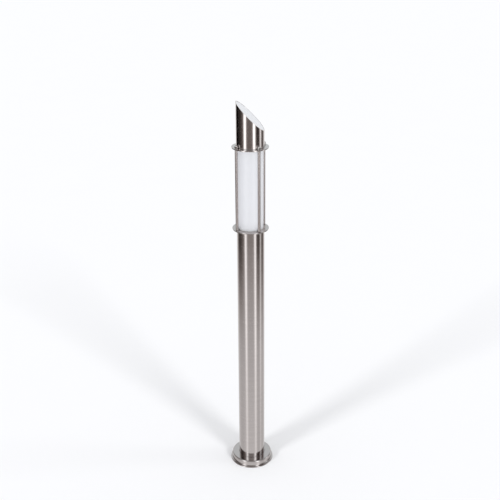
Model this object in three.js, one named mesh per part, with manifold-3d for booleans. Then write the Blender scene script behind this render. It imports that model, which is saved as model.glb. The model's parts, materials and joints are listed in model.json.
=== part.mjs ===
// A bollard light, 1.1 m tall: a round steel pole, an opal tube in a cage of four rods between two thin
// collars, and a short head tube cut at 45 degrees and closed by an opal panel.
// Units are millimetres and +Z is up. The origin is on the ground, on the axis of the pole, and the
// slanted top is lowest towards +X.
import * as THREE from "three";
import { mergeVertices } from "three/addons/utils/BufferGeometryUtils.js";
import Module from "manifold-3d";

const wasm = await Module();
wasm.setup();

// Room kept between pieces that touch, and how far a cutter runs past the wall that it cuts.
const GAP = 0.3;
const OVERRUN = 1;

// Tube that the pole and the head are cut from.
const TUBE_RADIUS = 38.05;
const TUBE_WALL = 1.5;
const TUBE_BORE = TUBE_RADIUS - TUBE_WALL;

// Heights that fix the outline.
const TOTAL_HEIGHT = 1100;
const LOWER_COLLAR_TOP = 752.8;
const UPPER_COLLAR_TOP = 980.5;

// Collars.
const COLLAR_RADIUS = 50;
const COLLAR_THICKNESS = 2.5;
const LOWER_COLLAR_BORE = 20;
const UPPER_COLLAR_BORE = 32;
const LOWER_COLLAR_BOTTOM = LOWER_COLLAR_TOP - COLLAR_THICKNESS;
const UPPER_COLLAR_BOTTOM = UPPER_COLLAR_TOP - COLLAR_THICKNESS;

// Cage rods, and the studs, screws and nuts at their ends.
const ROD_COUNT = 4;
const ROD_FIRST_ANGLE = THREE.MathUtils.degToRad(37);
const ROD_CIRCLE_RADIUS = 43;
const ROD_RADIUS = 4;
const ROD_CHAMFER = 1.2;
const ROD_SCREW_HOLE_DEPTH = 10;
const ROD_SCREW_TIP_ROOM = 2;
const ROD_SCREW_HEAD_RADIUS = 4;
const ROD_SCREW_HEAD_HEIGHT = 2.8;
const M5_RADIUS = 2.4;
const M5_CLEARANCE_RADIUS = 2.8;
const STUD_TOP = UPPER_COLLAR_TOP + 7;
const WASHER_RADIUS = 4.5;
const WASHER_THICKNESS = 1;
const NUT_FLAT_DISTANCE = 4;
const NUT_HEXAGON_HEIGHT = 4.2;
const NUT_DOME_RADIUS = 3.7;

// Slanted top. The cut is at 45 degrees, so its height falls by as much as x grows.
const CUT_HEIGHT_ON_AXIS = TOTAL_HEIGHT - TUBE_RADIUS;
const PANEL_RADIUS = TUBE_BORE - GAP;
const PANEL_DEPTH = 4.2;
const PANEL_RECESS = 0.4;
const SEAT_BORE = 32.5;
const GASKET_DEPTH = 1.4;
const SEAT_DEPTH = 2.8;

// Opal tube.
const DIFFUSER_RADIUS = 35;
const DIFFUSER_BORE = 32;
const DIFFUSER_GASKET_THICKNESS = 1.2;

// Foot.
const PLATE_RADIUS = 54;
const PLATE_THICKNESS = 4;
const CABLE_HOLE_RADIUS = 12;
const ANCHOR_COUNT = 3;
const ANCHOR_HOLE_RADIUS = 4.5;
const ANCHOR_CIRCLE_RADIUS = 46;
const ANCHOR_FIRST_ANGLE = THREE.MathUtils.degToRad(90);
const SPIGOT_RADIUS = TUBE_BORE - GAP;
const SPIGOT_BORE = 33;
const SPIGOT_TOP = 44;
const GRUB_COUNT = 3;
const GRUB_FIRST_ANGLE = THREE.MathUtils.degToRad(30);
const GRUB_HEIGHT = 12;
const GRUB_RADIUS = 2.2;
const GRUB_HOLE_RADIUS = 2.5;
const GRUB_TIP_ROOM = 0.5;
const GRUB_END_ROOM = 0.2;
const GRUB_SOCKET_FLAT_DISTANCE = 1.2;
const GRUB_SOCKET_DEPTH = 2;

// Base cover.
const COVER_HEIGHT = 20.5;
const COVER_WALL = 1.5;
const COVER_HOLE_RADIUS = TUBE_RADIUS + 0.5;
const COVER_BODY_RADIUS = 58.6;
const COVER_LIP_RADIUS = 63.5;
const COVER_LIP_HEIGHT = 3.4;
const COVER_LIP_ROUND = 1.6;
const COVER_COVE_RADIUS = 1.8;
const COVER_SHOULDER_RADIUS = 2.6;

// Lamp: an E27 holder on a bridge over the lower collar's hole, and the bulb in it.
const BRIDGE_SHEET = 1.5;
const BRIDGE_WIDTH = 18;
const BRIDGE_HALF_LENGTH = 29;
const BRIDGE_HALF_TOP = 17.5;
const BRIDGE_TOP = LOWER_COLLAR_TOP + GAP + 9;
const BRIDGE_WIRE_HOLE_RADIUS = 6;
const M3_RADIUS = 1.4;
const M3_HOLE_RADIUS = 1.75;
const M3_HEAD_RADIUS = 2.8;
const M3_HEAD_HEIGHT = 2;
const BRIDGE_SCREW_RADIUS = 25;
const HOLDER_BOTTOM = BRIDGE_TOP + GAP;
const HOLDER_HEIGHT = 32;
const HOLDER_RADIUS = 20;
const HOLDER_BORE = 13.8;
const HOLDER_FLOOR = 6;
const HOLDER_WIRE_HOLE_RADIUS = 4.5;
const HOLDER_WAIST_RADIUS = 17.5;
const HOLDER_WAIST_HEIGHT = 16;
const HOLDER_FLARE_HEIGHT = 3;
const HOLDER_EASING = 2;
const CAP_RADIUS = 13.1;
const CAP_LENGTH = 24;
const CAP_CONE_HEIGHT = 5;
const CAP_THREAD_PITCH = 3.62;
const CAP_THREAD_DEPTH = 0.5;
const CAP_THREAD_TURNS = 4;
const CONTACT_RADIUS = 4.6;
const CONTACT_HEIGHT = 2;
const CONTACT_EASING = 1.2;
const BULB_NECK_RADIUS = 14.5;
const BULB_RADIUS = 27.5;
const BULB_HOUSING_LENGTH = 40;
const BULB_NECK_LENGTH = 5;
const BULB_FLARE_START = 16;
const BULB_FLARE_END = 29;
const BULB_FLARE_EASING = 3.5;
const GLOBE_WALL = 1.6;
const CONTACT_BOTTOM = HOLDER_BOTTOM + HOLDER_FLOOR + 1.5;
const CAP_BOTTOM = CONTACT_BOTTOM + CONTACT_HEIGHT + GAP;
const HOUSING_BOTTOM = CAP_BOTTOM + CAP_LENGTH + GAP;
const GLOBE_BOTTOM = HOUSING_BOTTOM + BULB_HOUSING_LENGTH + GAP;

// Wiring inside the pole.
const GROMMET_BORE = 7;
const GROMMET_FLANGE_RADIUS = 15;
const GROMMET_FLANGE_HEIGHT = 2.4;
const GROMMET_RECESS = 0.5;
const BRACKET_FACE_X = 18;
const BRACKET_SHEET = 1.5;
const BRACKET_WIDTH = 24;
const BRACKET_FOOT_LENGTH = 10.5;
const BRACKET_TOP = 92;
const BRACKET_SCREW_X = 25.2;
const BRACKET_SCREW_REACH = 2.5;
const BLOCK_WIDTH = 30;
const BLOCK_HEIGHT = 16;
const BLOCK_DEPTH = 6;
const BLOCK_CENTRE_HEIGHT = 70;
const BLOCK_POLES = 3;
const BLOCK_PITCH = 10;
const BLOCK_TOWER_RADIUS = 3.6;
const BLOCK_TOWER_LENGTH = 7;
const BLOCK_TOWER_HOLE_RADIUS = 1.8;
const BLOCK_TOWER_HOLE_DEPTH = 5;
const BLOCK_SCREW_HEAD_RADIUS = 2.1;
const EARTH_HEIGHT = 38;
const EARTH_RADIUS = 1.9;
const EARTH_HOLE_RADIUS = 2.3;
const EARTH_HEAD_RADIUS = 3.8;
const EARTH_HEAD_HEIGHT = 2.6;
const SCREW_TAIL = 5;
const LEAD_RADIUS = 2.6;

// Socket screws: parts of the head's own radius and height.
const SOCKET_SHARE = 0.4;
const SOCKET_DEPTH_SHARE = 0.6;
const HEAD_DOME_SHARE = 0.35;

// How finely round pieces are divided.
const LARGE_ROUND = 36;
const INNER_ROUND = 24;
const SMALL_ROUND = 12;
const ARC_STEPS = 3;
const LEAD_SIDES = 8;
const LEAD_STEPS = 44;
const MERGE_DISTANCE = 1e-4;

const FINISHES = {
  brushedSteel: { color: 0xb4aba7, roughness: 0.3, metalness: 1 },
  plainSteel: { color: 0x9c9a97, roughness: 0.45, metalness: 1 },
  opal: { color: 0xe9ebf0, roughness: 0.35, metalness: 0 },
  whitePlastic: { color: 0xe6e4df, roughness: 0.5, metalness: 0 },
  nickel: { color: 0xc9c5bb, roughness: 0.25, metalness: 1 },
  brass: { color: 0xc2a25a, roughness: 0.35, metalness: 1 },
  rubber: { color: 0x26262a, roughness: 0.85, metalness: 0 },
  silicone: { color: 0xdcdcdc, roughness: 0.7, metalness: 0 },
  blackPlastic: { color: 0x1d1d20, roughness: 0.55, metalness: 0 },
};

const bollard = new THREE.Group();

function addPiece(name, geometry, finish) {
  const piece = new THREE.Mesh(geometry, new THREE.MeshStandardMaterial(FINISHES[finish]));
  piece.name = name;
  bollard.add(piece);
  return piece;
}

// ---- Shape helpers ----

// A point of a turned profile, by its distance from the axis and its height.
const at = (radius, height) => new THREE.Vector2(radius, height);

// A quarter round of a profile about a centre, from one angle to another, in degrees.
function arc(centreRadius, centreHeight, radius, fromDegrees, toDegrees) {
  const points = [];
  for (let step = 0; step <= ARC_STEPS; step += 1) {
    const turn = THREE.MathUtils.lerp(fromDegrees, toDegrees, step / ARC_STEPS);
    const angle = THREE.MathUtils.degToRad(turn);
    points.push(at(centreRadius + radius * Math.cos(angle), centreHeight + radius * Math.sin(angle)));
  }
  return points;
}

// A profile that runs anticlockwise, turned about the vertical axis.
function turned(profile, segments = LARGE_ROUND) {
  return new THREE.LatheGeometry(profile, segments).rotateX(Math.PI / 2);
}

// The same for a profile that encloses a hole, so it closes on itself.
const turnedRing = (profile, segments) => turned([...profile, profile[0].clone()], segments);

function tube(bore, radius, bottom, top, segments) {
  return turnedRing([at(bore, bottom), at(radius, bottom), at(radius, top), at(bore, top)], segments);
}

function rod(radius, bottom, top, segments = SMALL_ROUND) {
  return turned([at(0, bottom), at(radius, bottom), at(radius, top), at(0, top)], segments);
}

function circle(radius, segments, x = 0, y = 0) {
  const points = [];
  for (let step = 0; step < segments; step += 1) {
    const angle = (2 * Math.PI * step) / segments;
    points.push(new THREE.Vector2(x + radius * Math.cos(angle), y + radius * Math.sin(angle)));
  }
  return points;
}

// Places at equal angles round the axis.
function around(count, radius, firstAngle) {
  return Array.from({ length: count }, (_, index) => {
    const angle = firstAngle + (2 * Math.PI * index) / count;
    return { angle, x: radius * Math.cos(angle), y: radius * Math.sin(angle) };
  });
}

// A flat outline with holes, raised from one height to another.
function flatPiece(outline, holes, bottom, top) {
  const shape = new THREE.Shape(outline);
  holes.forEach((hole) => shape.holes.push(new THREE.Path(hole)));
  const depth = top - bottom;
  return new THREE.ExtrudeGeometry(shape, { depth, bevelEnabled: false }).translate(0, 0, bottom);
}

// An outline in the XZ plane, as wide as asked along Y and centred on Y = 0.
function sidePiece(outline, width) {
  const shape = new THREE.Shape(outline);
  const geometry = new THREE.ExtrudeGeometry(shape, { depth: width, bevelEnabled: false });
  return geometry.rotateX(Math.PI / 2).translate(0, width / 2, 0);
}

// Lays an upright piece over so that its height runs along +X.
const alongX = (geometry) => geometry.rotateY(Math.PI / 2);

// A hexagon whose flats are as far from the axis as asked.
const hexagon = (flatDistance) => circle(flatDistance / Math.cos(Math.PI / 6), 6);

// ---- Joining and cutting ----

function solid(geometry) {
  const bare = geometry.index ? geometry.toNonIndexed() : geometry.clone();
  bare.deleteAttribute("normal");
  bare.deleteAttribute("uv");
  const merged = mergeVertices(bare, MERGE_DISTANCE);
  return new wasm.Manifold(
    new wasm.Mesh({
      numProp: 3,
      vertProperties: merged.attributes.position.array,
      triVerts: new Uint32Array(merged.index.array),
    }),
  );
}

function geometryOf(manifold) {
  const mesh = manifold.getMesh();
  const geometry = new THREE.BufferGeometry();
  geometry.setAttribute("position", new THREE.BufferAttribute(mesh.vertProperties, 3));
  geometry.setIndex(new THREE.BufferAttribute(mesh.triVerts, 1));
  return geometry;
}

function cut(geometry, cutters) {
  const shape = cutters.reduce((rest, cutter) => rest.subtract(solid(cutter)), solid(geometry));
  return geometryOf(shape);
}

function join(geometries) {
  const shape = geometries.map(solid).reduce((whole, next) => whole.add(next));
  return geometryOf(shape);
}

// Moves the vertices above a height so that the top follows the slanted cut.
function slant(geometry, above) {
  const position = geometry.getAttribute("position");
  for (let index = 0; index < position.count; index += 1) {
    if (position.getZ(index) > above) {
      position.setZ(index, position.getZ(index) - position.getX(index));
    }
  }
  return geometry;
}

// A screw with a round head above the shank and a hexagon socket in the head. Its origin is under the head.
function socketScrew(shankRadius, shankLength, headRadius, headHeight) {
  const dome = headHeight * HEAD_DOME_SHARE;
  const profile = [
    at(0, -shankLength),
    at(shankRadius, -shankLength),
    at(shankRadius, 0),
    at(headRadius, 0),
    at(headRadius, headHeight - dome),
    at(headRadius - dome, headHeight),
    at(0, headHeight),
  ];
  const socketFloor = headHeight * (1 - SOCKET_DEPTH_SHARE);
  const socket = flatPiece(hexagon(headRadius * SOCKET_SHARE), [], socketFloor, headHeight + OVERRUN);
  return cut(turned(profile, SMALL_ROUND), [socket]);
}

// ---- Foot ----

function addBasePlate() {
  const outline = circle(PLATE_RADIUS, LARGE_ROUND);
  const holes = around(ANCHOR_COUNT, ANCHOR_CIRCLE_RADIUS, ANCHOR_FIRST_ANGLE).map(({ x, y }) =>
    circle(ANCHOR_HOLE_RADIUS, SMALL_ROUND, x, y),
  );
  holes.push(circle(CABLE_HOLE_RADIUS, SMALL_ROUND));
  holes.push(circle(M3_HOLE_RADIUS, SMALL_ROUND, BRACKET_SCREW_X, 0));
  addPiece("base_plate", flatPiece(outline, holes, 0, PLATE_THICKNESS), "plainSteel");
}

// Round holes through a standing tube, one for each grub screw.
function grubHoles() {
  return around(GRUB_COUNT, 0, GRUB_FIRST_ANGLE).map(({ angle }) => {
    const hole = rod(GRUB_HOLE_RADIUS, SPIGOT_BORE - OVERRUN, TUBE_RADIUS + OVERRUN);
    return alongX(hole).rotateZ(angle).translate(0, 0, GRUB_HEIGHT);
  });
}

function addSpigotAndPole() {
  const bottom = PLATE_THICKNESS + GAP;
  const spigot = tube(SPIGOT_BORE, SPIGOT_RADIUS, bottom, SPIGOT_TOP, INNER_ROUND);
  addPiece("foot_spigot", cut(spigot, grubHoles()), "plainSteel");
  const pole = tube(TUBE_BORE, TUBE_RADIUS, bottom, LOWER_COLLAR_BOTTOM - GAP);
  addPiece("pole", cut(pole, grubHoles()), "brushedSteel");
}

function addGrubScrews() {
  const tip = SPIGOT_BORE + GRUB_TIP_ROOM;
  const end = TUBE_RADIUS - GRUB_END_ROOM;
  const socketOutline = hexagon(GRUB_SOCKET_FLAT_DISTANCE);
  const socket = flatPiece(socketOutline, [], end - GRUB_SOCKET_DEPTH, end + OVERRUN);
  around(GRUB_COUNT, 0, GRUB_FIRST_ANGLE).forEach(({ angle }, index) => {
    const geometry = alongX(cut(rod(GRUB_RADIUS, tip, end), [socket]));
    const screw = addPiece(`grub_screw_${index + 1}`, geometry, "plainSteel");
    screw.rotation.z = angle;
    screw.position.z = GRUB_HEIGHT;
  });
}

function addBaseCover() {
  const lipCentre = COVER_LIP_RADIUS - COVER_LIP_ROUND;
  const lipTop = COVER_LIP_HEIGHT - COVER_LIP_ROUND;
  const shoulderCentre = COVER_BODY_RADIUS - COVER_SHOULDER_RADIUS;
  const shoulderHeight = COVER_HEIGHT - COVER_SHOULDER_RADIUS;
  const coveCentre = COVER_BODY_RADIUS + COVER_COVE_RADIUS;
  const coveHeight = COVER_LIP_HEIGHT + COVER_COVE_RADIUS;
  const innerShoulder = COVER_SHOULDER_RADIUS - COVER_WALL;
  const innerRadius = COVER_BODY_RADIUS - COVER_WALL;
  const profile = [
    at(innerRadius, 0),
    at(COVER_LIP_RADIUS, 0),
    ...arc(lipCentre, lipTop, COVER_LIP_ROUND, 0, 90),
    ...arc(coveCentre, coveHeight, COVER_COVE_RADIUS, 270, 180),
    ...arc(shoulderCentre, shoulderHeight, COVER_SHOULDER_RADIUS, 0, 90),
    at(COVER_HOLE_RADIUS, COVER_HEIGHT),
    at(COVER_HOLE_RADIUS, COVER_HEIGHT - COVER_WALL),
    ...arc(shoulderCentre, shoulderHeight, innerShoulder, 90, 0),
  ];
  addPiece("base_cover", turnedRing(profile), "brushedSteel");
}

function addGrommet() {
  const neck = CABLE_HOLE_RADIUS - GAP;
  const flangeBottom = PLATE_THICKNESS + GAP;
  const profile = [
    at(GROMMET_BORE, GROMMET_RECESS),
    at(neck, GROMMET_RECESS),
    at(neck, flangeBottom),
    at(GROMMET_FLANGE_RADIUS, flangeBottom),
    at(GROMMET_FLANGE_RADIUS, flangeBottom + GROMMET_FLANGE_HEIGHT),
    at(GROMMET_BORE, flangeBottom + GROMMET_FLANGE_HEIGHT),
  ];
  addPiece("cable_grommet", turnedRing(profile, SMALL_ROUND), "rubber");
}

// ---- Terminals inside the foot ----

function addTerminalBracket() {
  const bottom = PLATE_THICKNESS + GAP;
  const outer = BRACKET_FACE_X + BRACKET_FOOT_LENGTH;
  const outline = [
    at(BRACKET_FACE_X, bottom),
    at(outer, bottom),
    at(outer, bottom + BRACKET_SHEET),
    at(BRACKET_FACE_X + BRACKET_SHEET, bottom + BRACKET_SHEET),
    at(BRACKET_FACE_X + BRACKET_SHEET, BRACKET_TOP),
    at(BRACKET_FACE_X, BRACKET_TOP),
  ];
  const footHole = rod(M3_HOLE_RADIUS, bottom - OVERRUN, bottom + BRACKET_SHEET + OVERRUN);
  const wallHole = (radius, height) => {
    const hole = rod(radius, BRACKET_FACE_X - OVERRUN, BRACKET_FACE_X + BRACKET_SHEET + OVERRUN);
    return alongX(hole).translate(0, 0, height);
  };
  const holes = [
    footHole.translate(BRACKET_SCREW_X, 0, 0),
    wallHole(M3_HOLE_RADIUS, BLOCK_CENTRE_HEIGHT),
    wallHole(EARTH_HOLE_RADIUS, EARTH_HEIGHT),
  ];
  addPiece("terminal_bracket", cut(sidePiece(outline, BRACKET_WIDTH), holes), "plainSteel");

  const length = BRACKET_SHEET + GAP + BRACKET_SCREW_REACH;
  const footScrew = socketScrew(M3_RADIUS, length, M3_HEAD_RADIUS, M3_HEAD_HEIGHT);
  const screw = addPiece("bracket_screw", footScrew, "plainSteel");
  screw.position.set(BRACKET_SCREW_X, 0, bottom + BRACKET_SHEET + GAP);
}

// The block stands on the bracket's inner face. It is built upright and then laid towards the axis.
function addTerminalBlock() {
  const half = BLOCK_WIDTH / 2;
  const halfHeight = BLOCK_HEIGHT / 2;
  const towerRow = halfHeight - BLOCK_TOWER_RADIUS;
  const outline = [
    at(-halfHeight, -half),
    at(halfHeight, -half),
    at(halfHeight, half),
    at(-halfHeight, half),
  ];
  const top = BLOCK_DEPTH + BLOCK_TOWER_LENGTH;
  const towers = [];
  const towerHoles = [];
  for (let pole = 0; pole < BLOCK_POLES; pole += 1) {
    const across = (pole - (BLOCK_POLES - 1) / 2) * BLOCK_PITCH;
    [-towerRow, towerRow].forEach((row) => {
      const tower = rod(BLOCK_TOWER_RADIUS, BLOCK_DEPTH - OVERRUN, top);
      const hole = rod(BLOCK_TOWER_HOLE_RADIUS, top - BLOCK_TOWER_HOLE_DEPTH, top + OVERRUN);
      towers.push(tower.translate(row, across, 0));
      towerHoles.push(hole.translate(row, across, 0));
    });
  }
  const screwHole = rod(M3_HOLE_RADIUS, -OVERRUN, top + OVERRUN).translate(0, BLOCK_PITCH / 2, 0);
  const body = cut(join([flatPiece(outline, [], 0, BLOCK_DEPTH), ...towers]), [...towerHoles, screwHole]);
  const block = addPiece("terminal_block", alongX(body).rotateZ(Math.PI), "whitePlastic");
  block.position.set(BRACKET_FACE_X - GAP, BLOCK_PITCH / 2, BLOCK_CENTRE_HEIGHT);

  const length = BLOCK_DEPTH + GAP + BRACKET_SHEET + SCREW_TAIL;
  const screwGeometry = socketScrew(M3_RADIUS, length, BLOCK_SCREW_HEAD_RADIUS, M3_HEAD_HEIGHT);
  const screw = addPiece("block_screw", alongX(screwGeometry).rotateZ(Math.PI), "brass");
  screw.position.set(BRACKET_FACE_X - GAP - BLOCK_DEPTH - GAP, 0, BLOCK_CENTRE_HEIGHT);
}

function addEarthScrew() {
  const screwGeometry = socketScrew(
    EARTH_RADIUS,
    BRACKET_SHEET + GAP + SCREW_TAIL,
    EARTH_HEAD_RADIUS,
    EARTH_HEAD_HEIGHT,
  );
  const screw = addPiece("earth_screw", alongX(screwGeometry).rotateZ(Math.PI), "brass");
  screw.position.set(BRACKET_FACE_X - GAP, 0, EARTH_HEIGHT);
}

// The lead leaves the top of the terminal block, swings to the axis and runs up into the lampholder.
function addInnerLead() {
  const startX = BRACKET_FACE_X - BLOCK_DEPTH;
  const startHeight = BLOCK_CENTRE_HEIGHT + BLOCK_HEIGHT / 2 + 1;
  const endHeight = HOLDER_BOTTOM + HOLDER_FLOOR / 2;
  const route = new THREE.CatmullRomCurve3([
    new THREE.Vector3(startX, 0, startHeight),
    new THREE.Vector3(startX, 0, startHeight + 20),
    new THREE.Vector3(startX / 2, 4, startHeight + 90),
    new THREE.Vector3(-6, 6, startHeight + 240),
    new THREE.Vector3(8, -5, startHeight + 440),
    new THREE.Vector3(0, 0, endHeight - 60),
    new THREE.Vector3(0, 0, endHeight),
  ]);
  const section = new THREE.Shape(circle(LEAD_RADIUS, LEAD_SIDES));
  const options = { steps: LEAD_STEPS, extrudePath: route, bevelEnabled: false };
  addPiece("inner_lead", new THREE.ExtrudeGeometry(section, options), "blackPlastic");
}

// ---- Cage ----

const rodPlaces = around(ROD_COUNT, ROD_CIRCLE_RADIUS, ROD_FIRST_ANGLE);
const rodHoles = rodPlaces.map(({ x, y }) => circle(M5_CLEARANCE_RADIUS, SMALL_ROUND, x, y));
const bridgeScrewPlaces = [-BRIDGE_SCREW_RADIUS, BRIDGE_SCREW_RADIUS];

function addCollars() {
  const bridgeHoles = bridgeScrewPlaces.map((x) => circle(M3_HOLE_RADIUS, SMALL_ROUND, x, 0));
  const outline = circle(COLLAR_RADIUS, LARGE_ROUND);
  const lowerHoles = [circle(LOWER_COLLAR_BORE, LARGE_ROUND), ...rodHoles, ...bridgeHoles];
  const upperHoles = [circle(UPPER_COLLAR_BORE, LARGE_ROUND), ...rodHoles];
  const lower = flatPiece(outline, lowerHoles, LOWER_COLLAR_BOTTOM, LOWER_COLLAR_TOP);
  const upper = flatPiece(outline, upperHoles, UPPER_COLLAR_BOTTOM, UPPER_COLLAR_TOP);
  addPiece("lower_collar", lower, "brushedSteel");
  addPiece("upper_collar", upper, "brushedSteel");
}

function addCageRods() {
  const bottom = LOWER_COLLAR_TOP + GAP;
  const shoulder = UPPER_COLLAR_BOTTOM - GAP;
  const profile = [
    at(0, bottom + ROD_SCREW_HOLE_DEPTH),
    at(M5_CLEARANCE_RADIUS, bottom + ROD_SCREW_HOLE_DEPTH),
    at(M5_CLEARANCE_RADIUS, bottom),
    at(ROD_RADIUS - ROD_CHAMFER / 2, bottom),
    at(ROD_RADIUS, bottom + ROD_CHAMFER / 2),
    at(ROD_RADIUS, shoulder - ROD_CHAMFER),
    at(ROD_RADIUS - ROD_CHAMFER, shoulder),
    at(M5_RADIUS, shoulder),
    at(M5_RADIUS, STUD_TOP),
    at(0, STUD_TOP),
  ];
  rodPlaces.forEach(({ x, y }, index) => {
    const cageRod = addPiece(`cage_rod_${index + 1}`, turned(profile, SMALL_ROUND), "brushedSteel");
    cageRod.position.set(x, y, 0);
  });
}

// Screws that come up through the lower collar into the rods.
function addRodScrews() {
  const length = COLLAR_THICKNESS + 2 * GAP + ROD_SCREW_HOLE_DEPTH - ROD_SCREW_TIP_ROOM;
  rodPlaces.forEach(({ x, y }, index) => {
    const geometry = socketScrew(M5_RADIUS, length, ROD_SCREW_HEAD_RADIUS, ROD_SCREW_HEAD_HEIGHT);
    const screw = addPiece(`rod_screw_${index + 1}`, geometry.rotateX(Math.PI), "brushedSteel");
    screw.position.set(x, y, LOWER_COLLAR_BOTTOM - GAP);
  });
}

// Domed nuts on the studs, each on a washer. A flat of each hexagon faces the head tube.
function addCapNuts() {
  const nutBottom = WASHER_THICKNESS + GAP;
  const hexTop = nutBottom + NUT_HEXAGON_HEIGHT;
  const studHoleTop = STUD_TOP - UPPER_COLLAR_TOP + GAP;
  const domeProfile = [
    at(0, nutBottom),
    at(NUT_DOME_RADIUS, nutBottom),
    ...arc(0, hexTop, NUT_DOME_RADIUS, 0, 90),
  ];
  const hex = flatPiece(hexagon(NUT_FLAT_DISTANCE), [], nutBottom, hexTop).rotateZ(Math.PI / 6);
  const hole = rod(M5_RADIUS + GAP, nutBottom - OVERRUN, studHoleTop);
  const nut = cut(join([hex, turned(domeProfile, SMALL_ROUND)]), [hole]);
  rodPlaces.forEach(({ angle, x, y }, index) => {
    const ring = tube(M5_CLEARANCE_RADIUS, WASHER_RADIUS, 0, WASHER_THICKNESS, SMALL_ROUND);
    const washer = addPiece(`nut_washer_${index + 1}`, ring, "brushedSteel");
    washer.position.set(x, y, UPPER_COLLAR_TOP + GAP);
    const capNut = addPiece(`cap_nut_${index + 1}`, nut.clone(), "brushedSteel");
    capNut.rotation.z = angle;
    capNut.position.set(x, y, UPPER_COLLAR_TOP + GAP);
  });
}

// ---- Opal tube ----

function addDiffuser() {
  const gasket = DIFFUSER_GASKET_THICKNESS;
  const lowerGasketBottom = LOWER_COLLAR_TOP + GAP;
  const upperGasketTop = UPPER_COLLAR_BOTTOM - GAP;
  const bottom = lowerGasketBottom + gasket + GAP;
  const top = upperGasketTop - gasket - GAP;
  const gasketRing = (from) => tube(DIFFUSER_BORE, DIFFUSER_RADIUS, from, from + gasket, INNER_ROUND);
  addPiece("diffuser_gasket_lower", gasketRing(lowerGasketBottom), "silicone");
  addPiece("diffuser", tube(DIFFUSER_BORE, DIFFUSER_RADIUS, bottom, top), "opal");
  addPiece("diffuser_gasket_upper", gasketRing(upperGasketTop - gasket), "silicone");
}

// ---- Head ----

function addHeadTube() {
  const bottom = UPPER_COLLAR_TOP + GAP;
  const geometry = tube(TUBE_BORE, TUBE_RADIUS, bottom, CUT_HEIGHT_ON_AXIS);
  addPiece("head_tube", slant(geometry, bottom + 1), "brushedSteel");
}

// The opal panel, the gasket under it and the ring they rest on all lie parallel to the cut.
function addSlantedPanel() {
  const panelTop = CUT_HEIGHT_ON_AXIS - PANEL_RECESS;
  const panelBottom = panelTop - PANEL_DEPTH;
  const gasketTop = panelBottom - GAP;
  const gasketBottom = gasketTop - GASKET_DEPTH;
  const seatTop = gasketBottom - GAP;
  const slantedRing = (from, to) => slant(tube(SEAT_BORE, PANEL_RADIUS, from, to, INNER_ROUND), 0);
  addPiece("top_panel", slant(rod(PANEL_RADIUS, panelBottom, panelTop, LARGE_ROUND), 0), "opal");
  addPiece("panel_gasket", slantedRing(gasketBottom, gasketTop), "silicone");
  addPiece("panel_seat", slantedRing(seatTop - SEAT_DEPTH, seatTop), "plainSteel");
}

// ---- Lamp ----

function addHolderBridge() {
  const bottom = LOWER_COLLAR_TOP + GAP;
  const innerTop = BRIDGE_HALF_TOP - BRIDGE_SHEET;
  const outline = [
    at(-BRIDGE_HALF_LENGTH, bottom),
    at(-innerTop, bottom),
    at(-innerTop, BRIDGE_TOP - BRIDGE_SHEET),
    at(innerTop, BRIDGE_TOP - BRIDGE_SHEET),
    at(innerTop, bottom),
    at(BRIDGE_HALF_LENGTH, bottom),
    at(BRIDGE_HALF_LENGTH, bottom + BRIDGE_SHEET),
    at(BRIDGE_HALF_TOP, bottom + BRIDGE_SHEET),
    at(BRIDGE_HALF_TOP, BRIDGE_TOP),
    at(-BRIDGE_HALF_TOP, BRIDGE_TOP),
    at(-BRIDGE_HALF_TOP, bottom + BRIDGE_SHEET),
    at(-BRIDGE_HALF_LENGTH, bottom + BRIDGE_SHEET),
  ];
  const wireHole = rod(BRIDGE_WIRE_HOLE_RADIUS, BRIDGE_TOP - BRIDGE_SHEET - OVERRUN, BRIDGE_TOP + OVERRUN);
  const screwHoles = bridgeScrewPlaces.map((x) =>
    rod(M3_HOLE_RADIUS, bottom - OVERRUN, bottom + BRIDGE_SHEET + OVERRUN).translate(x, 0, 0),
  );
  const strap = cut(sidePiece(outline, BRIDGE_WIDTH), [wireHole, ...screwHoles]);
  addPiece("holder_bridge", strap, "plainSteel");
  bridgeScrewPlaces.forEach((x, index) => {
    const length = BRIDGE_SHEET + 2 * GAP + COLLAR_THICKNESS;
    const geometry = socketScrew(M3_RADIUS, length, M3_HEAD_RADIUS, M3_HEAD_HEIGHT);
    const screw = addPiece(`bridge_screw_${index + 1}`, geometry, "plainSteel");
    screw.position.set(x, 0, bottom + BRIDGE_SHEET + GAP);
  });
}

function addLampholder() {
  const top = HOLDER_BOTTOM + HOLDER_HEIGHT;
  const floor = HOLDER_BOTTOM + HOLDER_FLOOR;
  const waistTop = HOLDER_BOTTOM + HOLDER_WAIST_HEIGHT;
  const profile = [
    at(HOLDER_WIRE_HOLE_RADIUS, HOLDER_BOTTOM),
    at(HOLDER_WAIST_RADIUS - HOLDER_EASING / 2, HOLDER_BOTTOM),
    at(HOLDER_WAIST_RADIUS, HOLDER_BOTTOM + HOLDER_EASING),
    at(HOLDER_WAIST_RADIUS, waistTop),
    at(HOLDER_RADIUS, waistTop + HOLDER_FLARE_HEIGHT),
    at(HOLDER_RADIUS, top - HOLDER_EASING),
    at(HOLDER_RADIUS - HOLDER_EASING, top),
    at(HOLDER_BORE, top),
    at(HOLDER_BORE, floor),
    at(HOLDER_WIRE_HOLE_RADIUS, floor),
  ];
  addPiece("lampholder", turnedRing(profile, INNER_ROUND), "blackPlastic");
}

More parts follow.
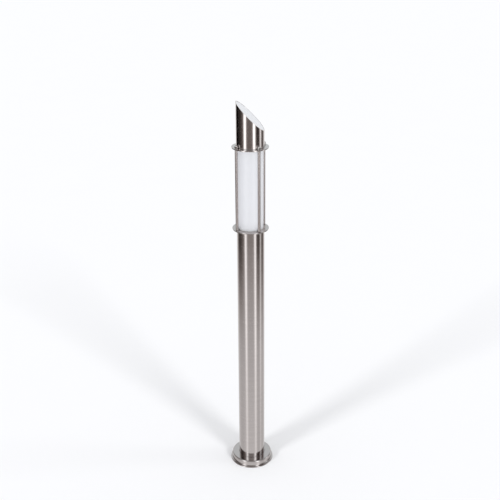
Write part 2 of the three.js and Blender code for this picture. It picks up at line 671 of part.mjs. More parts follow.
// Round ridges stand for the thread of the bulb's cap.
function bulbCapProfile() {
  const capTop = CAP_BOTTOM + CAP_LENGTH;
  const threadBottom = CAP_BOTTOM + CAP_CONE_HEIGHT;
  const root = CAP_RADIUS - CAP_THREAD_DEPTH;
  const profile = [at(0, CAP_BOTTOM), at(CONTACT_RADIUS + 1, CAP_BOTTOM), at(root, threadBottom)];
  for (let turn = 0; turn < CAP_THREAD_TURNS; turn += 1) {
    profile.push(at(CAP_RADIUS, threadBottom + (turn + 0.5) * CAP_THREAD_PITCH));
    profile.push(at(root, threadBottom + (turn + 1) * CAP_THREAD_PITCH));
  }
  return [...profile, at(root, capTop), at(0, capTop)];
}

function addBulb() {
  const housingTop = HOUSING_BOTTOM + BULB_HOUSING_LENGTH;
  const housing = [
    at(0, HOUSING_BOTTOM),
    at(BULB_NECK_RADIUS, HOUSING_BOTTOM),
    at(BULB_NECK_RADIUS, HOUSING_BOTTOM + BULB_NECK_LENGTH),
    at(BULB_NECK_RADIUS + BULB_FLARE_EASING, HOUSING_BOTTOM + BULB_FLARE_START),
    at(BULB_RADIUS - BULB_FLARE_EASING, HOUSING_BOTTOM + BULB_FLARE_END),
    at(BULB_RADIUS, housingTop),
    at(0, housingTop),
  ];
  const globe = [
    at(BULB_RADIUS - GLOBE_WALL, GLOBE_BOTTOM),
    ...arc(0, GLOBE_BOTTOM, BULB_RADIUS, 0, 90),
    ...arc(0, GLOBE_BOTTOM, BULB_RADIUS - GLOBE_WALL, 90, 0).slice(0, -1),
  ];
  const contact = [
    at(0, CONTACT_BOTTOM),
    at(CONTACT_RADIUS - CONTACT_EASING, CONTACT_BOTTOM),
    at(CONTACT_RADIUS, CONTACT_BOTTOM + CONTACT_EASING),
    at(CONTACT_RADIUS, CONTACT_BOTTOM + CONTACT_HEIGHT),
    at(0, CONTACT_BOTTOM + CONTACT_HEIGHT),
  ];
  addPiece("bulb_contact", turned(contact, SMALL_ROUND), "brass");
  addPiece("bulb_cap", turned(bulbCapProfile(), INNER_ROUND), "nickel");
  addPiece("bulb_housing", turned(housing, INNER_ROUND), "whitePlastic");
  addPiece("bulb_globe", turnedRing(globe, INNER_ROUND), "opal");
}

addBasePlate();
addSpigotAndPole();
addGrubScrews();
addBaseCover();
addGrommet();
addTerminalBracket();
addTerminalBlock();
addEarthScrew();
addInnerLead();
addCollars();
addCageRods();
addRodScrews();
addCapNuts();
addDiffuser();
addHeadTube();
addSlantedPanel();
addHolderBridge();
addLampholder();
addBulb();

export default bollard;
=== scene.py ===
"""The looks of a bollard light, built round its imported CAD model.

Sizes are in millimetres, in the CAD model's frame: the origin is on the ground on the axis of the pole,
+Z is up and the slanted top is lowest towards +X. Heights and radii come from the boxes of the CAD nodes,
and the sizes that a box doesn't show are named below. Meshes are written in metres.
"""

import json
import math

import bmesh
import bpy
from mathutils import Matrix, Vector
from mathutils.geometry import tessellate_polygon

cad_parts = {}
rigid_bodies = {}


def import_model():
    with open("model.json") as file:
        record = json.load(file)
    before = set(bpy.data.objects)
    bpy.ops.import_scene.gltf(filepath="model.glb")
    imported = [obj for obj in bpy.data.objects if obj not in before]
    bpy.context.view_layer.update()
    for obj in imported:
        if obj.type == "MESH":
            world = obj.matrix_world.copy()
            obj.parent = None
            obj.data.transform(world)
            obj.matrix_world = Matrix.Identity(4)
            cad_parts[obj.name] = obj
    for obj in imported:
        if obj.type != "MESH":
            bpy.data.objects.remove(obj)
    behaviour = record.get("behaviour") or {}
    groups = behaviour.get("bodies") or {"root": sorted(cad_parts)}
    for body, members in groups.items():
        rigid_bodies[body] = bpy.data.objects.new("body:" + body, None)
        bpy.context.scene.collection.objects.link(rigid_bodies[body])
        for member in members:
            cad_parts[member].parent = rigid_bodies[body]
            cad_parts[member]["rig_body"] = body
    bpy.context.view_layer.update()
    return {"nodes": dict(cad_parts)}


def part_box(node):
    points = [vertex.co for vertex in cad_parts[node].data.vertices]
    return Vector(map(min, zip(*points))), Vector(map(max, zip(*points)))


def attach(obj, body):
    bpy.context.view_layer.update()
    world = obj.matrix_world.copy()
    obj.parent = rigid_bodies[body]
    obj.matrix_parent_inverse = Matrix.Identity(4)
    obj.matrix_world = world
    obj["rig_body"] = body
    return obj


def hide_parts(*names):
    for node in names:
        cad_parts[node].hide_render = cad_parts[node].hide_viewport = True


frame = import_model()

MM = 0.001

# How finely shapes are divided. Counts round a circle are multiples of six, so a hexagon keeps its corners.
LARGE_ROUND = 180
MEDIUM_ROUND = 120
SMALL_ROUND = 48
ARC_STEPS = 8
EDGE_STEPS = 4
BEVEL_STEPS = 2
THREAD_STEPS = 6
FLARE_STEPS = 16
GLOBE_STEPS = 24
LEAD_STEPS = 20
LEAD_RING_STEPS = 6
LEAD_MERGE_DISTANCE = 0.02

# Edges. A bend over SHARP_ANGLE is shaded as an edge, and one under LEAST_CORNER isn't eased as a corner.
SHARP_ANGLE = math.radians(32)
LEAST_CORNER = math.radians(20)
MOST_OF_A_SIDE = 0.45
EDGE = 0.3
DISC_EDGE = 0.5

# Room between pieces that touch, and how far a cutter runs past the wall that it cuts.
GAP = 0.3
OVERRUN = 1
DRILL_REACH = 5

# Sheet and tube sizes inside the outlines that the CAD boxes give.
TUBE_WALL = 1.5
SHEET = 1.5
SHEET_BEND = 0.9
SHEET_BEVEL = 0.15
SPIGOT_BORE = 33
SEAT_BORE = 32.5

# Screws. A head's dome and socket are shares of the head.
M3_RADIUS = 1.4
M3_HOLE_RADIUS = 1.75
M3_PITCH = 0.5
M3_HEAD_RADIUS = 2.8
M3_HEAD_HEIGHT = 2
M4_RADIUS = 1.9
M4_HOLE_RADIUS = 2.3
M4_PITCH = 0.7
M5_RADIUS = 2.4
M5_HOLE_RADIUS = 2.8
M5_PITCH = 0.8
THREAD_DEPTH = 0.3
THREAD_END_ROOM = 0.2
HEAD_DOME_SHARE = 0.35
HEAD_EDGE = 0.39
SOCKET_SHARE = 0.4
SOCKET_DEPTH_SHARE = 0.6
SOCKET_MOUTH_SHARE = 1.25
SOCKET_MOUTH_DEPTH = 0.1
SOCKET_POINT = 0.2

# Foot.
CABLE_HOLE_RADIUS = 12
ANCHOR_HOLE_RADIUS = 4.5
ANCHOR_CIRCLE_RADIUS = 46
ANCHOR_ANGLES = (90, 210, 330)
GROMMET_BORE = 7
GROMMET_EDGE = 0.9
GRUB_ANGLES = (30, 150, 270)
GRUB_HEIGHT = 12
GRUB_RADIUS = 2.2
GRUB_TIP_ROOM = 0.5
GRUB_END_ROOM = 0.2
GRUB_POINT_SHARE = 0.45
GRUB_POINT_LENGTH = 0.9
GRUB_THREAD_START = 1.0
GRUB_THREAD_END_ROOM = 0.4
GRUB_SOCKET = 1.2
GRUB_SOCKET_DEPTH = 2
GRUB_SOCKET_POINT = 0.3
GRUB_HOLE_RADIUS = 2.5
GRUB_HOLE_START = 30
GRUB_HOLE_END = 42
GRUB_HOLE_STRIP = 8

# Base cover.
COVER_WALL = 1.5
COVER_BODY_RADIUS = 58.6
COVER_HOLE_RADIUS = 38.55
COVER_LIP_HEIGHT = 3.4
COVER_LIP_ROUND = 1.6
COVER_COVE_RADIUS = 1.8
COVER_SHOULDER_RADIUS = 2.6

# Terminals. Each screw is (shank radius, length, head radius, head height, pitch).
BRACKET_SCREW = (M3_RADIUS, 4.3, M3_HEAD_RADIUS, M3_HEAD_HEIGHT, M3_PITCH)
BLOCK_SCREW = (M3_RADIUS, 12.8, 2.1, M3_HEAD_HEIGHT, M3_PITCH)
EARTH_SCREW = (M4_RADIUS, 6.8, 3.8, 2.6, M4_PITCH)
BLOCK_POLES = 3
BLOCK_EDGE = 0.8
TOWER_LENGTH = 7
TOWER_RADIUS = 3.6
TOWER_EDGE = 0.6
TOWER_HOLE_RADIUS = 1.8
TOWER_HOLE_DEPTH = 5
LEAD_RADIUS = 2.6
LEAD_END_LENGTH = 60

# The inner lead's path: (x, y, height above its lower end). Its upper end is straight, on the axis.
LEAD_PATH = ((12, 0, 0), (12, 0, 20), (6, 4, 90), (-6, 6, 240), (8, -5, 440))

# Cage.
LOWER_COLLAR_BORE = 20
UPPER_COLLAR_BORE = 32
ROD_NUMBERS = (1, 2, 3, 4)
ROD_RADIUS = 4
ROD_CHAMFER = 1.2
ROD_EDGE = 0.25
ROD_SCREW_HOLE_DEPTH = 10
ROD_SCREW_HEAD_RADIUS = 4
ROD_SCREW_HEAD_HEIGHT = 2.8
STUD_RUN_OUT = 0.3
STUD_END_ROOM = 0.5
STUD_CHAMFER = 0.3
NUT_FLAT_DISTANCE = 4
NUT_CORNER_RADIUS = 4.62
NUT_TURNED_RADIUS = 4.1
NUT_EASING = 0.45
NUT_DOME_RADIUS = 3.7
NUT_DOME_END = 84
NUT_DOME_SEAM = 0.02
NUT_HOLE_RADIUS = 2.7
NUT_HOLE_DEPTH = 6
NUT_HOLE_CONE = 0.6
NUT_HOLE_CHAMFER = 0.3
NUT_HOLE_CHAMFER_HEIGHT = 0.4

# Opal tube and slanted panel.
DIFFUSER_WALL = 3
DIFFUSER_EDGE = 0.7
DIFFUSER_GASKET_EDGE = 0.4
PANEL_EDGE = 0.4
SLANT_START = 1

# Lamp. The holder and the bulb's cap have the same round thread.
BRIDGE_HALF_TOP = 17.5
BRIDGE_WIRE_HOLE_RADIUS = 6
BRIDGE_DRILL_REACH = 3
LAMP_PITCH = 3.62
HOLDER_WAIST_INSET = 2.5
HOLDER_WAIST_HEIGHT = 16
HOLDER_FOOT_CHAMFER = (1, 2)
HOLDER_FLOOR = 6
HOLDER_WIRE_HOLE_RADIUS = 4.5
HOLDER_BORE = 13.8
HOLDER_THREAD_DEPTH = 0.7
HOLDER_THREAD_ROOM = 2
HOLDER_FLUTE_DEPTH = 0.5
HOLDER_FLUTES = 30
HOLDER_RIM_INSET = 0.6
HOLDER_FLARE = 2.4
HOLDER_FLARE_END = 3.4
HOLDER_GRIP_END = 2.6
HOLDER_RIM = 1.6
HOLDER_MOUTH_INSET = 2
HOLDER_MOUTH_CHAMFER = (0.4, 1)
CONTACT_CHAMFER = 1.2
CONTACT_EDGE = 0.4
CAP_TIP_RADIUS = 5.6
CAP_CONE_INSET = 1.2
CAP_CONE_HEIGHT = 4.2
CAP_THREAD_DEPTH = 0.6
CAP_THREAD_START = 5
CAP_THREAD_END = 3
CAP_NECK_HEIGHT = 2
CAP_NECK_INSET = 0.6
CAP_RIM_INSET = 0.4
HOUSING_NECK_RADIUS = 14.5
HOUSING_NECK_LENGTH = 5
HOUSING_NECK_CHAMFER = 0.5
HOUSING_RIM_LENGTH = 4
HOUSING_RIM_CHAMFER = 0.4
GLOBE_WALL = 1.6
GLOBE_ARC = (0, 88)
GLOBE_INNER_ARC = (88, 2)

# Surface detail. Noise mostly stays between these two values, and scales of noise are per metre.
NOISE_LOW = 0.3
NOISE_HIGH = 0.7
PLAIN_DETAIL = 2.0
NOISE_DETAIL = 3.0
RICH_DETAIL = 5.0
GRAIN_ACROSS_FLATS = 1.3
BAND_PITCHES = 9
BAND_LENGTHS = 1.7
BAND_TONES = (0.98, 1.02)
GRAIN_GLOSS = (0.82, 1.12)
GRAIN_BUMP = 0.25
SMUDGE_SCALE = 26.0
SMUDGE_RANGE = (0.45, 0.75)
SMUDGE_ROUGHNESS = 0.25
MILL_SCALE = 140.0
MILL_RANGE = (0.35, 0.65)
MILL_TONES = (0.86, 1.06)
MILL_ROUGHNESS = (0.38, 0.52)
MILL_LINES = (30.0, 900.0)
MILL_BUMP = 0.3
MILL_RELIEF = 0.02
CLOUD_SCALE = 45.0
CLOUD_GLOSS = (0.88, 1.12)
MOULD_SCALE = 900.0
MOULD_BUMP = 0.2
SUBSURFACE_DEPTH = 3

# Camera.
CAMERA_PLACE = (179.44, -2075.66, 1546.8)
CAMERA_PITCH = 67.535
CAMERA_ROLL = -0.349
CAMERA_YAW = 5.0
CAMERA_LENS = 58.67
CAMERA_SENSOR = 36

# Floor, in metres but for its drop.
FLOOR_SIZE = 80
FLOOR_DROP = 0.2
FLOOR_COLOUR = (0.9, 0.902, 0.91)
FLOOR_TONES = (0.995, 1.005)
FLOOR_NOISE = 3.0
FLOOR_ROUGHNESS = 0.9

# Key lights: (azimuth, elevation, strength, how wide the light looks), in degrees.
KEY_LIGHTS = {
    "key_right": (-48.5, 30, 1.16, 14),
    "key_left": (-133, 30, 1.04, 12),
    "fill_right": (5, 34, 0.22, 14),
}

# What the camera and matt surfaces see all round.
WHITE = (0.975, 0.98, 0.99, 1)
AMBIENT = (0.70, 0.705, 0.72, 1)

# The studio that steel reflects. Azimuths are from the camera's side, and positive to the right.
# Each curve is (where it starts, where it ends, value before, value after), and eases from 0 to 1 if it
# names no values. Curves go by elevation in degrees, unless their comment says otherwise.
FRONT_CENTRE = -14.0
FLOOR_FACING = (-17, -27.5, 0.2, 0.5)
FLOOR_FACING_NEAR = (-22, -38, 0.0, 0.26)
FLOOR_ASIDE = (-21, -30.5, 0.04, 0.63)
FLOOR_SIDES = (30, 78)  # by azimuth off FRONT_CENTRE
WALL_FACING = 0.42
WALL_ASIDE = (20, 34, 0.38, 0.06)
WALL_SIDES = (40, 75)  # by azimuth off FRONT_CENTRE
CEILING = (50, 85, 0.05, 0.5)
WALL_TO_CEILING = (44, 56)
FLOOR_TO_WALL = (-9, 3)
SWEEP_LOW = (-40, -10, 0.75, 1.1)
SWEEP_HIGH = (2, 20, 0.0, -0.34)
FRONT_TO_SWEEP = (108, 155)  # by azimuth
WARM_TINT = (1.0, 0.84, 0.77, 1)
FLAT_TINT = (1.0, 1.0, 1.0, 1)
COOL_TINT = (0.93, 1.0, 1.02, 1)
TINT_BY_BRIGHTNESS = (0.0, 0.7)
COOL_RISE = (0, 14)

# Softboxes: (azimuth low down, azimuth at the top, width, strength), and how their light goes by elevation.
SOFTBOXES = ((-42.5, -42.5, 6.5, 0.95), (37.5, 31.5, 6.3, 1.05), (90.0, 90.0, 6.5, 0.53))
SOFTBOX_LEAN = (-21, -16)
SOFTBOX_LOW = (-37, -21, 0.32, 1.3)
SOFTBOX_HIGH = (-20, -12, 0.0, 1.6)
SOFTBOX_FADING = (5, 30, 1.0, 0.62)
SOFTBOX_END = (42, 58, 1.0, 0.0)

# A black flag at the left. It darkens the head's left edge.
FLAG_FAR_SIDE = (-148, -134)  # by azimuth
FLAG_NEAR_SIDE = (-98, -116)  # by azimuth
FLAG_BOTTOM = (-20, -16.5)
FLAG_TOP = (8, 0)


# ---- Outlines: lists of (radius, height), where a radius may be a function of the angle ----


def arc(centre_radius, centre_height, radius, start, end, steps=ARC_STEPS):
    """Part of a circle as outline points, from one angle to another, in degrees."""
    points = []
    for step in range(steps + 1):
        angle = math.radians(start + (end - start) * step / steps)
        points.append((centre_radius + radius * math.cos(angle), centre_height + radius * math.sin(angle)))
    return points


def rounded(points, radius, closed=True):
    """The outline with each clear corner that is off the axis eased into a curve."""
    count = len(points)
    result = []
    for index, point in enumerate(points):
        corner = Vector(point)
        if not closed and index in (0, count - 1):
            result.append(point)
            continue
        before = Vector(points[index - 1]) - corner
        after = Vector(points[(index + 1) % count]) - corner
        turn = math.pi - before.angle(after)
        if turn < LEAST_CORNER or point[0] == 0:
            result.append(point)
            continue
        reach = min(radius, MOST_OF_A_SIDE * before.length, MOST_OF_A_SIDE * after.length)
        start = corner + before.normalized() * reach
        end = corner + after.normalized() * reach
        for step in range(EDGE_STEPS + 1):
            share = step / EDGE_STEPS
            eased = start * (1 - share) ** 2 + corner * 2 * share * (1 - share) + end * share**2
            result.append((eased.x, eased.y))
    return result


def tube_outline(bore, radius, bottom, top, edge=EDGE):
    return rounded([(bore, bottom), (radius, bottom), (radius, top), (bore, top)], edge)


def rod_outline(radius, bottom, top, edge=EDGE):
    return rounded([(0, bottom), (radius, bottom), (radius, top), (0, top)], edge)


def hexagonal(flat_distance, limit=math.inf):
    """The radius of a hexagon at any angle, held under a limit where its corners are turned off."""

    def radius_at(angle):
        from_flat = (angle + math.pi / 6) % (math.pi / 3) - math.pi / 6
        return min(limit, flat_distance / math.cos(from_flat))

    return radius_at


def fluted(radius, depth, count):
    """The radius of a round piece with shallow upright flutes."""
    return lambda angle: radius - depth * (0.5 - 0.5 * math.cos(count * angle))


def thread(radius, depth, pitch, bottom, top):
    """Rings of a rounded screw thread, from its bottom up. It fades out at both ends."""
    steps = max(2, round((top - bottom) / pitch * THREAD_STEPS))
    rings = []
    for step in range(steps + 1):
        height = bottom + (top - bottom) * step / steps
        fade = min(1, (height - bottom) / pitch, (top - height) / pitch)

        def radius_at(angle, height=height, fade=fade):
            wave = 0.5 + 0.5 * math.cos(2 * math.pi * height / pitch - angle)
            return radius - depth * (1 - fade * wave)

        rings.append((radius_at, height))
    return rings


# ---- Meshes ----


def finished(shape):
    """The mesh of a bmesh, facing out, smooth but for its sharp edges."""
    bmesh.ops.recalc_face_normals(shape, faces=shape.faces)
    for face in shape.faces:
        face.smooth = True
    for edge in shape.edges:
        edge.smooth = edge.calc_face_angle(0) < SHARP_ANGLE
    mesh = bpy.data.meshes.new("shape")
    shape.to_mesh(mesh)
    shape.free()
    return mesh


def ring_of(shape, radius, height, segments, centre=(0, 0)):
    """One ring of vertices, or a single one on the axis."""
    if radius == 0:
        return [shape.verts.new((centre[0] * MM, centre[1] * MM, height * MM))]
    ring = []
    for segment in range(segments):
        angle = 2 * math.pi * segment / segments
        reach = radius(angle) if callable(radius) else radius
        x = centre[0] + reach * math.cos(angle)
        y = centre[1] + reach * math.sin(angle)
        ring.append(shape.verts.new((x * MM, y * MM, height * MM)))
    return ring


def bridge(shape, lower, upper):
    """Faces between two rings, or between a ring and a vertex on the axis."""
    for here in range(max(len(lower), len(upper))):
        following = here + 1
        corners = [
            lower[here % len(lower)],
            lower[following % len(lower)],
            upper[following % len(upper)],
            upper[here % len(upper)],
        ]
        corners = list(dict.fromkeys(corners))
        if len(corners) > 2:
            shape.faces.new(corners)


def spun(outline, segments=LARGE_ROUND, slanted_above=None):
    """A closed outline turned about the vertical axis. Above a height, it may follow the slanted cut."""
    shape = bmesh.new()
    rings = [ring_of(shape, radius, height, segments) for radius, height in outline]
    for lower, upper in zip(rings, rings[1:] + rings[:1]):
        bridge(shape, lower, upper)
    if slanted_above is not None:
        for vertex in shape.verts:
            if vertex.co.z > slanted_above * MM:
                vertex.co.z -= vertex.co.x
    return finished(shape)


def plate(loops, bottom, top, edge=EDGE):
    """A flat disc with eased edges. Each loop is (radius, x, y, segments): first the rim, then holes."""
    shape = bmesh.new()
    lower_edge = arc(edge, bottom + edge, edge, 270, 180, EDGE_STEPS)
    upper_edge = arc(edge, top - edge, edge, 180, 90, EDGE_STEPS)
    walls = []
    for number, (radius, x, y, segments) in enumerate(loops):
        inwards = -1 if number == 0 else 1
        rings = []
        for inset, height in lower_edge + upper_edge:
            rings.append(ring_of(shape, radius + inwards * inset, height, segments, (x, y)))
        for lower, upper in zip(rings, rings[1:]):
            bridge(shape, lower, upper)
        walls.append(rings)
    for end in (0, -1):
        rims = [rings[end] for rings in walls]
        vertices = [vertex for rim in rims for vertex in rim]
        for triangle in tessellate_polygon([[vertex.co for vertex in rim] for rim in rims]):
            shape.faces.new([vertices[corner] for corner in triangle])
    return finished(shape)


def folded(outline, width):
    """A bent sheet: an outline of (x, z), as wide as asked along Y and centred on Y = 0."""
    shape = bmesh.new()
    sides = []
    for y in (-width / 2, width / 2):
        side = [shape.verts.new((x * MM, y * MM, z * MM)) for x, z in outline]
        shape.faces.new(side)
        sides.append(side)
    near, far = sides
    for here in range(len(outline)):
        following = (here + 1) % len(outline)
        shape.faces.new((near[here], near[following], far[following], far[here]))
    return finished(shape)


def new_object(name, data):
    """An object in the scene, for a mesh, a curve, a light or a camera."""
    piece = bpy.data.objects.new(name, data)
    bpy.context.scene.collection.objects.link(piece)
    return piece


def baked(piece):
    """The mesh that an object's curve or modifiers make. The object itself is removed."""
    graph = bpy.context.evaluated_depsgraph_get()
    mesh = bpy.data.meshes.new_from_object(piece.evaluated_get(graph))
    bpy.data.objects.remove(piece)
    return mesh


def combined(mesh, others, operation):
    """A mesh joined with others, or cut by them."""
    piece = new_object("work", mesh)
    helpers = []
    for other in others:
        helper = new_object("helper", other)
        helpers.append(helper)
        modifier = piece.modifiers.new("cut", "BOOLEAN")
        modifier.operation = operation
        modifier.solver = "EXACT"
        modifier.object = helper
    shape = bmesh.new()
    shape.from_mesh(baked(piece))
    for helper in helpers:
        bpy.data.objects.remove(helper)
    return finished(shape)


def cutter(radius, start, end, place=(0, 0, 0), direction=(0, 0, 1), segments=SMALL_ROUND):
    """A round cutter between two distances along a direction."""
    mesh = spun([(0, start), (radius, start), (radius, end), (0, end)], segments)
    turn = Vector((0, 0, 1)).rotation_difference(Vector(direction))
    mesh.transform(turn.to_matrix().to_4x4())
    mesh.transform(shift(place))
    return mesh


def shift(place):
    """The matrix of a move, given in millimetres."""
    return Matrix.Translation(Vector(place) * MM)


def bevelled(mesh, width):
    """The mesh with its sharp edges eased by a bevel."""
    piece = new_object("work", mesh)
    modifier = piece.modifiers.new("edges", "BEVEL")
    modifier.width = width * MM
    modifier.segments = BEVEL_STEPS
    modifier.angle_limit = SHARP_ANGLE
    return baked(piece)


# ---- Materials ----


class Graph:
    """Adds nodes to a node tree. Each call gives back the output that it makes."""

    def __init__(self, tree):
        self.tree = tree

    def add(self, kind, inputs, output=0, **settings):
        node = self.tree.nodes.new(kind)
        for name, value in settings.items():
            setattr(node, name, value)
        self.feed(node, inputs)
        return node.outputs[output]

    def feed(self, node, inputs):
        """Links or sets the inputs of a node, by name or by number."""
        for name, value in inputs.items():
            if isinstance(value, bpy.types.NodeSocket):
                self.tree.links.new(value, node.inputs[name])
            else:
                node.inputs[name].default_value = value

    def math(self, operation, *values):
        return self.add("ShaderNodeMath", dict(enumerate(values)), operation=operation)

    def sum(self, first, second):
        return self.math("ADD", first, second)

    def product(self, first, second):
        return self.math("MULTIPLY", first, second)

    def ease(self, value, start, end, low=0.0, high=1.0):
        """A smooth change from low to high as value goes from start to end."""
        inputs = {"Value": value, "From Min": start, "From Max": end, "To Min": low, "To Max": high}
        return self.add("ShaderNodeMapRange", inputs, interpolation_type="SMOOTHSTEP")

    def mix(self, share, low, high):
        """A number or a colour between two others."""
        kind = "FLOAT" if isinstance(low, (int, float)) or getattr(low, "type", "") == "VALUE" else "RGBA"
        places = {"FLOAT": (2, 3, 0), "RGBA": (6, 7, 2)}[kind]
        inputs = {0: share, places[0]: low, places[1]: high}
        return self.add("ShaderNodeMix", inputs, output=places[2], data_type=kind)

    def noise(self, vector, scale, detail):
        inputs = {"Vector": vector, "Scale": scale, "Detail": detail}
        return self.add("ShaderNodeTexNoise", inputs)

    def vector(self, x, y, z):
        return self.add("ShaderNodeCombineXYZ", {0: x, 1: y, 2: z})

    def parts(self, vector):
        node = self.tree.nodes.new("ShaderNodeSeparateXYZ")
        self.tree.links.new(vector, node.inputs[0])
        return node.outputs

    def place(self):
        """Where a point lies on its own piece, in metres."""
        return self.add("ShaderNodeTexCoord", {}, output=3)


def new_material(name, colour):
    """A material with a Principled shader, and the graph that its details are drawn in."""
    material = bpy.data.materials.new(name)
    material.use_nodes = True
    material.diffuse_color = (*colour, 1)
    return material, Graph(material.node_tree), material.node_tree.nodes["Principled BSDF"]


def shade(colour, amount):
    return (*(min(1, channel * amount) for channel in colour), 1)


def tones(graph, noise, noise_range, colour, amounts):
    """The colour, darker or lighter where the noise is low or high."""
    darker, lighter = amounts
    return graph.mix(graph.ease(noise, *noise_range), shade(colour, darker), shade(colour, lighter))


def bump(graph, height, strength, distance):
    """Relief as deep as the distance, in millimetres."""
    inputs = {"Height": height, "Strength": strength, "Distance": distance * MM}
    return graph.add("ShaderNodeBump", inputs)


def turned_grain(graph, pitch, length):
    """Fine lines that run round the piece's own axis, as a lathe or a brushing belt leaves them."""
    x, y, z = graph.parts(graph.place())
    radius = graph.math("SQRT", graph.sum(graph.product(x, x), graph.product(y, y)))
    across = graph.sum(z, graph.product(radius, GRAIN_ACROSS_FLATS))
    along = 1 / (length * MM)
    vector = graph.vector(
        graph.product(x, along),
        graph.product(y, along),
        graph.product(across, 1 / (pitch * MM)),
    )
    return graph.noise(vector, 1.0, NOISE_DETAIL)


def turned_metal(name, colour, roughness, pitch, length, depth):
    """Metal with grain round its axis, faint bands of tone and handling smudges."""
    material, graph, shader = new_material(name, colour)
    fine = turned_grain(graph, pitch, length)
    bands = turned_grain(graph, pitch * BAND_PITCHES, length * BAND_LENGTHS)
    smudges = graph.noise(graph.place(), SMUDGE_SCALE, NOISE_DETAIL)
    low, high = (roughness * share for share in GRAIN_GLOSS)
    grain_roughness = graph.ease(fine, NOISE_LOW, NOISE_HIGH, low, high)
    smudge_roughness = graph.ease(smudges, *SMUDGE_RANGE, 0.0, roughness * SMUDGE_ROUGHNESS)
    look = {
        "Base Color": tones(graph, bands, (NOISE_LOW, NOISE_HIGH), colour, BAND_TONES),
        "Roughness": graph.sum(grain_roughness, smudge_roughness),
        "Metallic": 1.0,
        "Normal": bump(graph, fine, GRAIN_BUMP, depth),
    }
    graph.feed(shader, look)
    return material


def rolled_steel(name, colour):
    """Plain sheet steel: a matt, faintly mottled mill finish with a few drawn lines."""
    material, graph, shader = new_material(name, colour)
    place = graph.place()
    mottle = graph.noise(place, MILL_SCALE, RICH_DETAIL)
    x, y, z = graph.parts(place)
    along, across = MILL_LINES
    stretched = graph.vector(graph.product(x, along), graph.product(y, across), z)
    lines = graph.noise(stretched, 1.0, PLAIN_DETAIL)
    look = {
        "Base Color": tones(graph, mottle, MILL_RANGE, colour, MILL_TONES),
        "Roughness": graph.ease(mottle, NOISE_LOW, NOISE_HIGH, *MILL_ROUGHNESS),
        "Metallic": 1.0,
        "Normal": bump(graph, lines, MILL_BUMP, MILL_RELIEF),
    }
    graph.feed(shader, look)
    return material


def moulded(name, colour, roughness, relief, variation=0.04, subsurface=0.0):
    """A moulded surface: slight cloudiness in tone, gloss and relief."""
    material, graph, shader = new_material(name, colour)
    place = graph.place()
    clouds = graph.noise(place, CLOUD_SCALE, NOISE_DETAIL)
    texture = graph.noise(place, MOULD_SCALE, PLAIN_DETAIL)
    amounts = (1 - variation, 1 + variation)
    low, high = (roughness * share for share in CLOUD_GLOSS)
    look = {
        "Base Color": tones(graph, clouds, (NOISE_LOW, NOISE_HIGH), colour, amounts),
        "Roughness": graph.ease(clouds, NOISE_LOW, NOISE_HIGH, low, high),
        "Normal": bump(graph, texture, MOULD_BUMP, relief),
    }
    if subsurface:
        look["Subsurface Weight"] = subsurface
        look["Subsurface Radius"] = (1, 1, 1)
        look["Subsurface Scale"] = SUBSURFACE_DEPTH * MM
    graph.feed(shader, look)
    return material


# Base colours.
STEEL = (0.60, 0.555, 0.545)
FASTENER = (0.64, 0.61, 0.6)
MILL_STEEL = (0.52, 0.51, 0.5)
NICKEL = (0.7, 0.67, 0.62)
BRASS = (0.72, 0.54, 0.26)
OPAL = (0.645, 0.65, 0.675)
OPAL_PANEL = (0.70, 0.705, 0.73)
BULB_OPAL = (0.86, 0.86, 0.84)
BULB_PLASTIC = (0.84, 0.84, 0.82)
TERMINAL_PLASTIC = (0.8, 0.79, 0.74)
HOLDER_BLACK = (0.028, 0.027, 0.027)
JACKET_BLACK = (0.03, 0.03, 0.034)
RUBBER_BLACK = (0.035, 0.035, 0.036)
SILICONE = (0.72, 0.72, 0.72)

# Turned metal: colour, roughness, pitch and length of the grain, relief.
# Moulded: colour, roughness, relief, how much the tone varies, how far light shines in.
LOOKS = {
    "brushed_steel": (turned_metal, STEEL, 0.14, 0.4, 60, 0.008),
    "polished_steel": (turned_metal, STEEL, 0.13, 0.3, 60, 0.002),
    "fastener_steel": (turned_metal, FASTENER, 0.13, 0.2, 10, 0.006),
    "plain_steel": (rolled_steel, MILL_STEEL),
    "opal": (moulded, OPAL, 0.32, 0.003, 0.008, 0.2),
    "opal_panel": (moulded, OPAL_PANEL, 0.3, 0.003, 0.008),
    "bulb_opal": (moulded, BULB_OPAL, 0.42, 0.02, 0.02, 0.2),
    "bulb_housing": (moulded, BULB_PLASTIC, 0.36, 0.03),
    "terminal_plastic": (moulded, TERMINAL_PLASTIC, 0.45, 0.05),
    "holder_black": (moulded, HOLDER_BLACK, 0.34, 0.05, 0.2),
    "lead_jacket": (moulded, JACKET_BLACK, 0.5, 0.05, 0.15),
    "rubber": (moulded, RUBBER_BLACK, 0.72, 0.08, 0.2),
    "silicone": (moulded, SILICONE, 0.5, 0.03, 0.05, 0.3),
    "nickel": (turned_metal, NICKEL, 0.22, 0.25, 12, 0.01),
    "brass": (turned_metal, BRASS, 0.28, 0.25, 12, 0.01),
}
MATERIALS = {name: make(name, *look) for name, (make, *look) in LOOKS.items()}


# ---- Placing pieces ----


def box_of(node):
    """A CAD node's lowest and highest corner, in millimetres."""
    low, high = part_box(node)
    return low / MM, high / MM


def middle_of(node):
    low, high = box_of(node)
    return (low + high) / 2


def add_piece(node, mesh, slot, place=(0, 0, 0), direction=(0, 0, 1), turn=0, material=None):
    """A piece that stands for a CAD node and rides on its body. Its own up goes along the direction."""
    piece = new_object(f"fine_{node}", mesh)
    normals = piece.modifiers.new("normals", "WEIGHTED_NORMAL")
    normals.keep_sharp = True
    mesh.name = piece.name
    mesh.materials.clear()
    mesh.materials.append(MATERIALS[material or slot])
    lean = Vector((0, 0, 1)).rotation_difference(Vector(direction)).to_matrix().to_4x4()
    piece.matrix_world = shift(place) @ lean @ Matrix.Rotation(turn, 4, "Z")
    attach(piece, frame["nodes"][node]["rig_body"])
    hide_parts(node)
    return piece


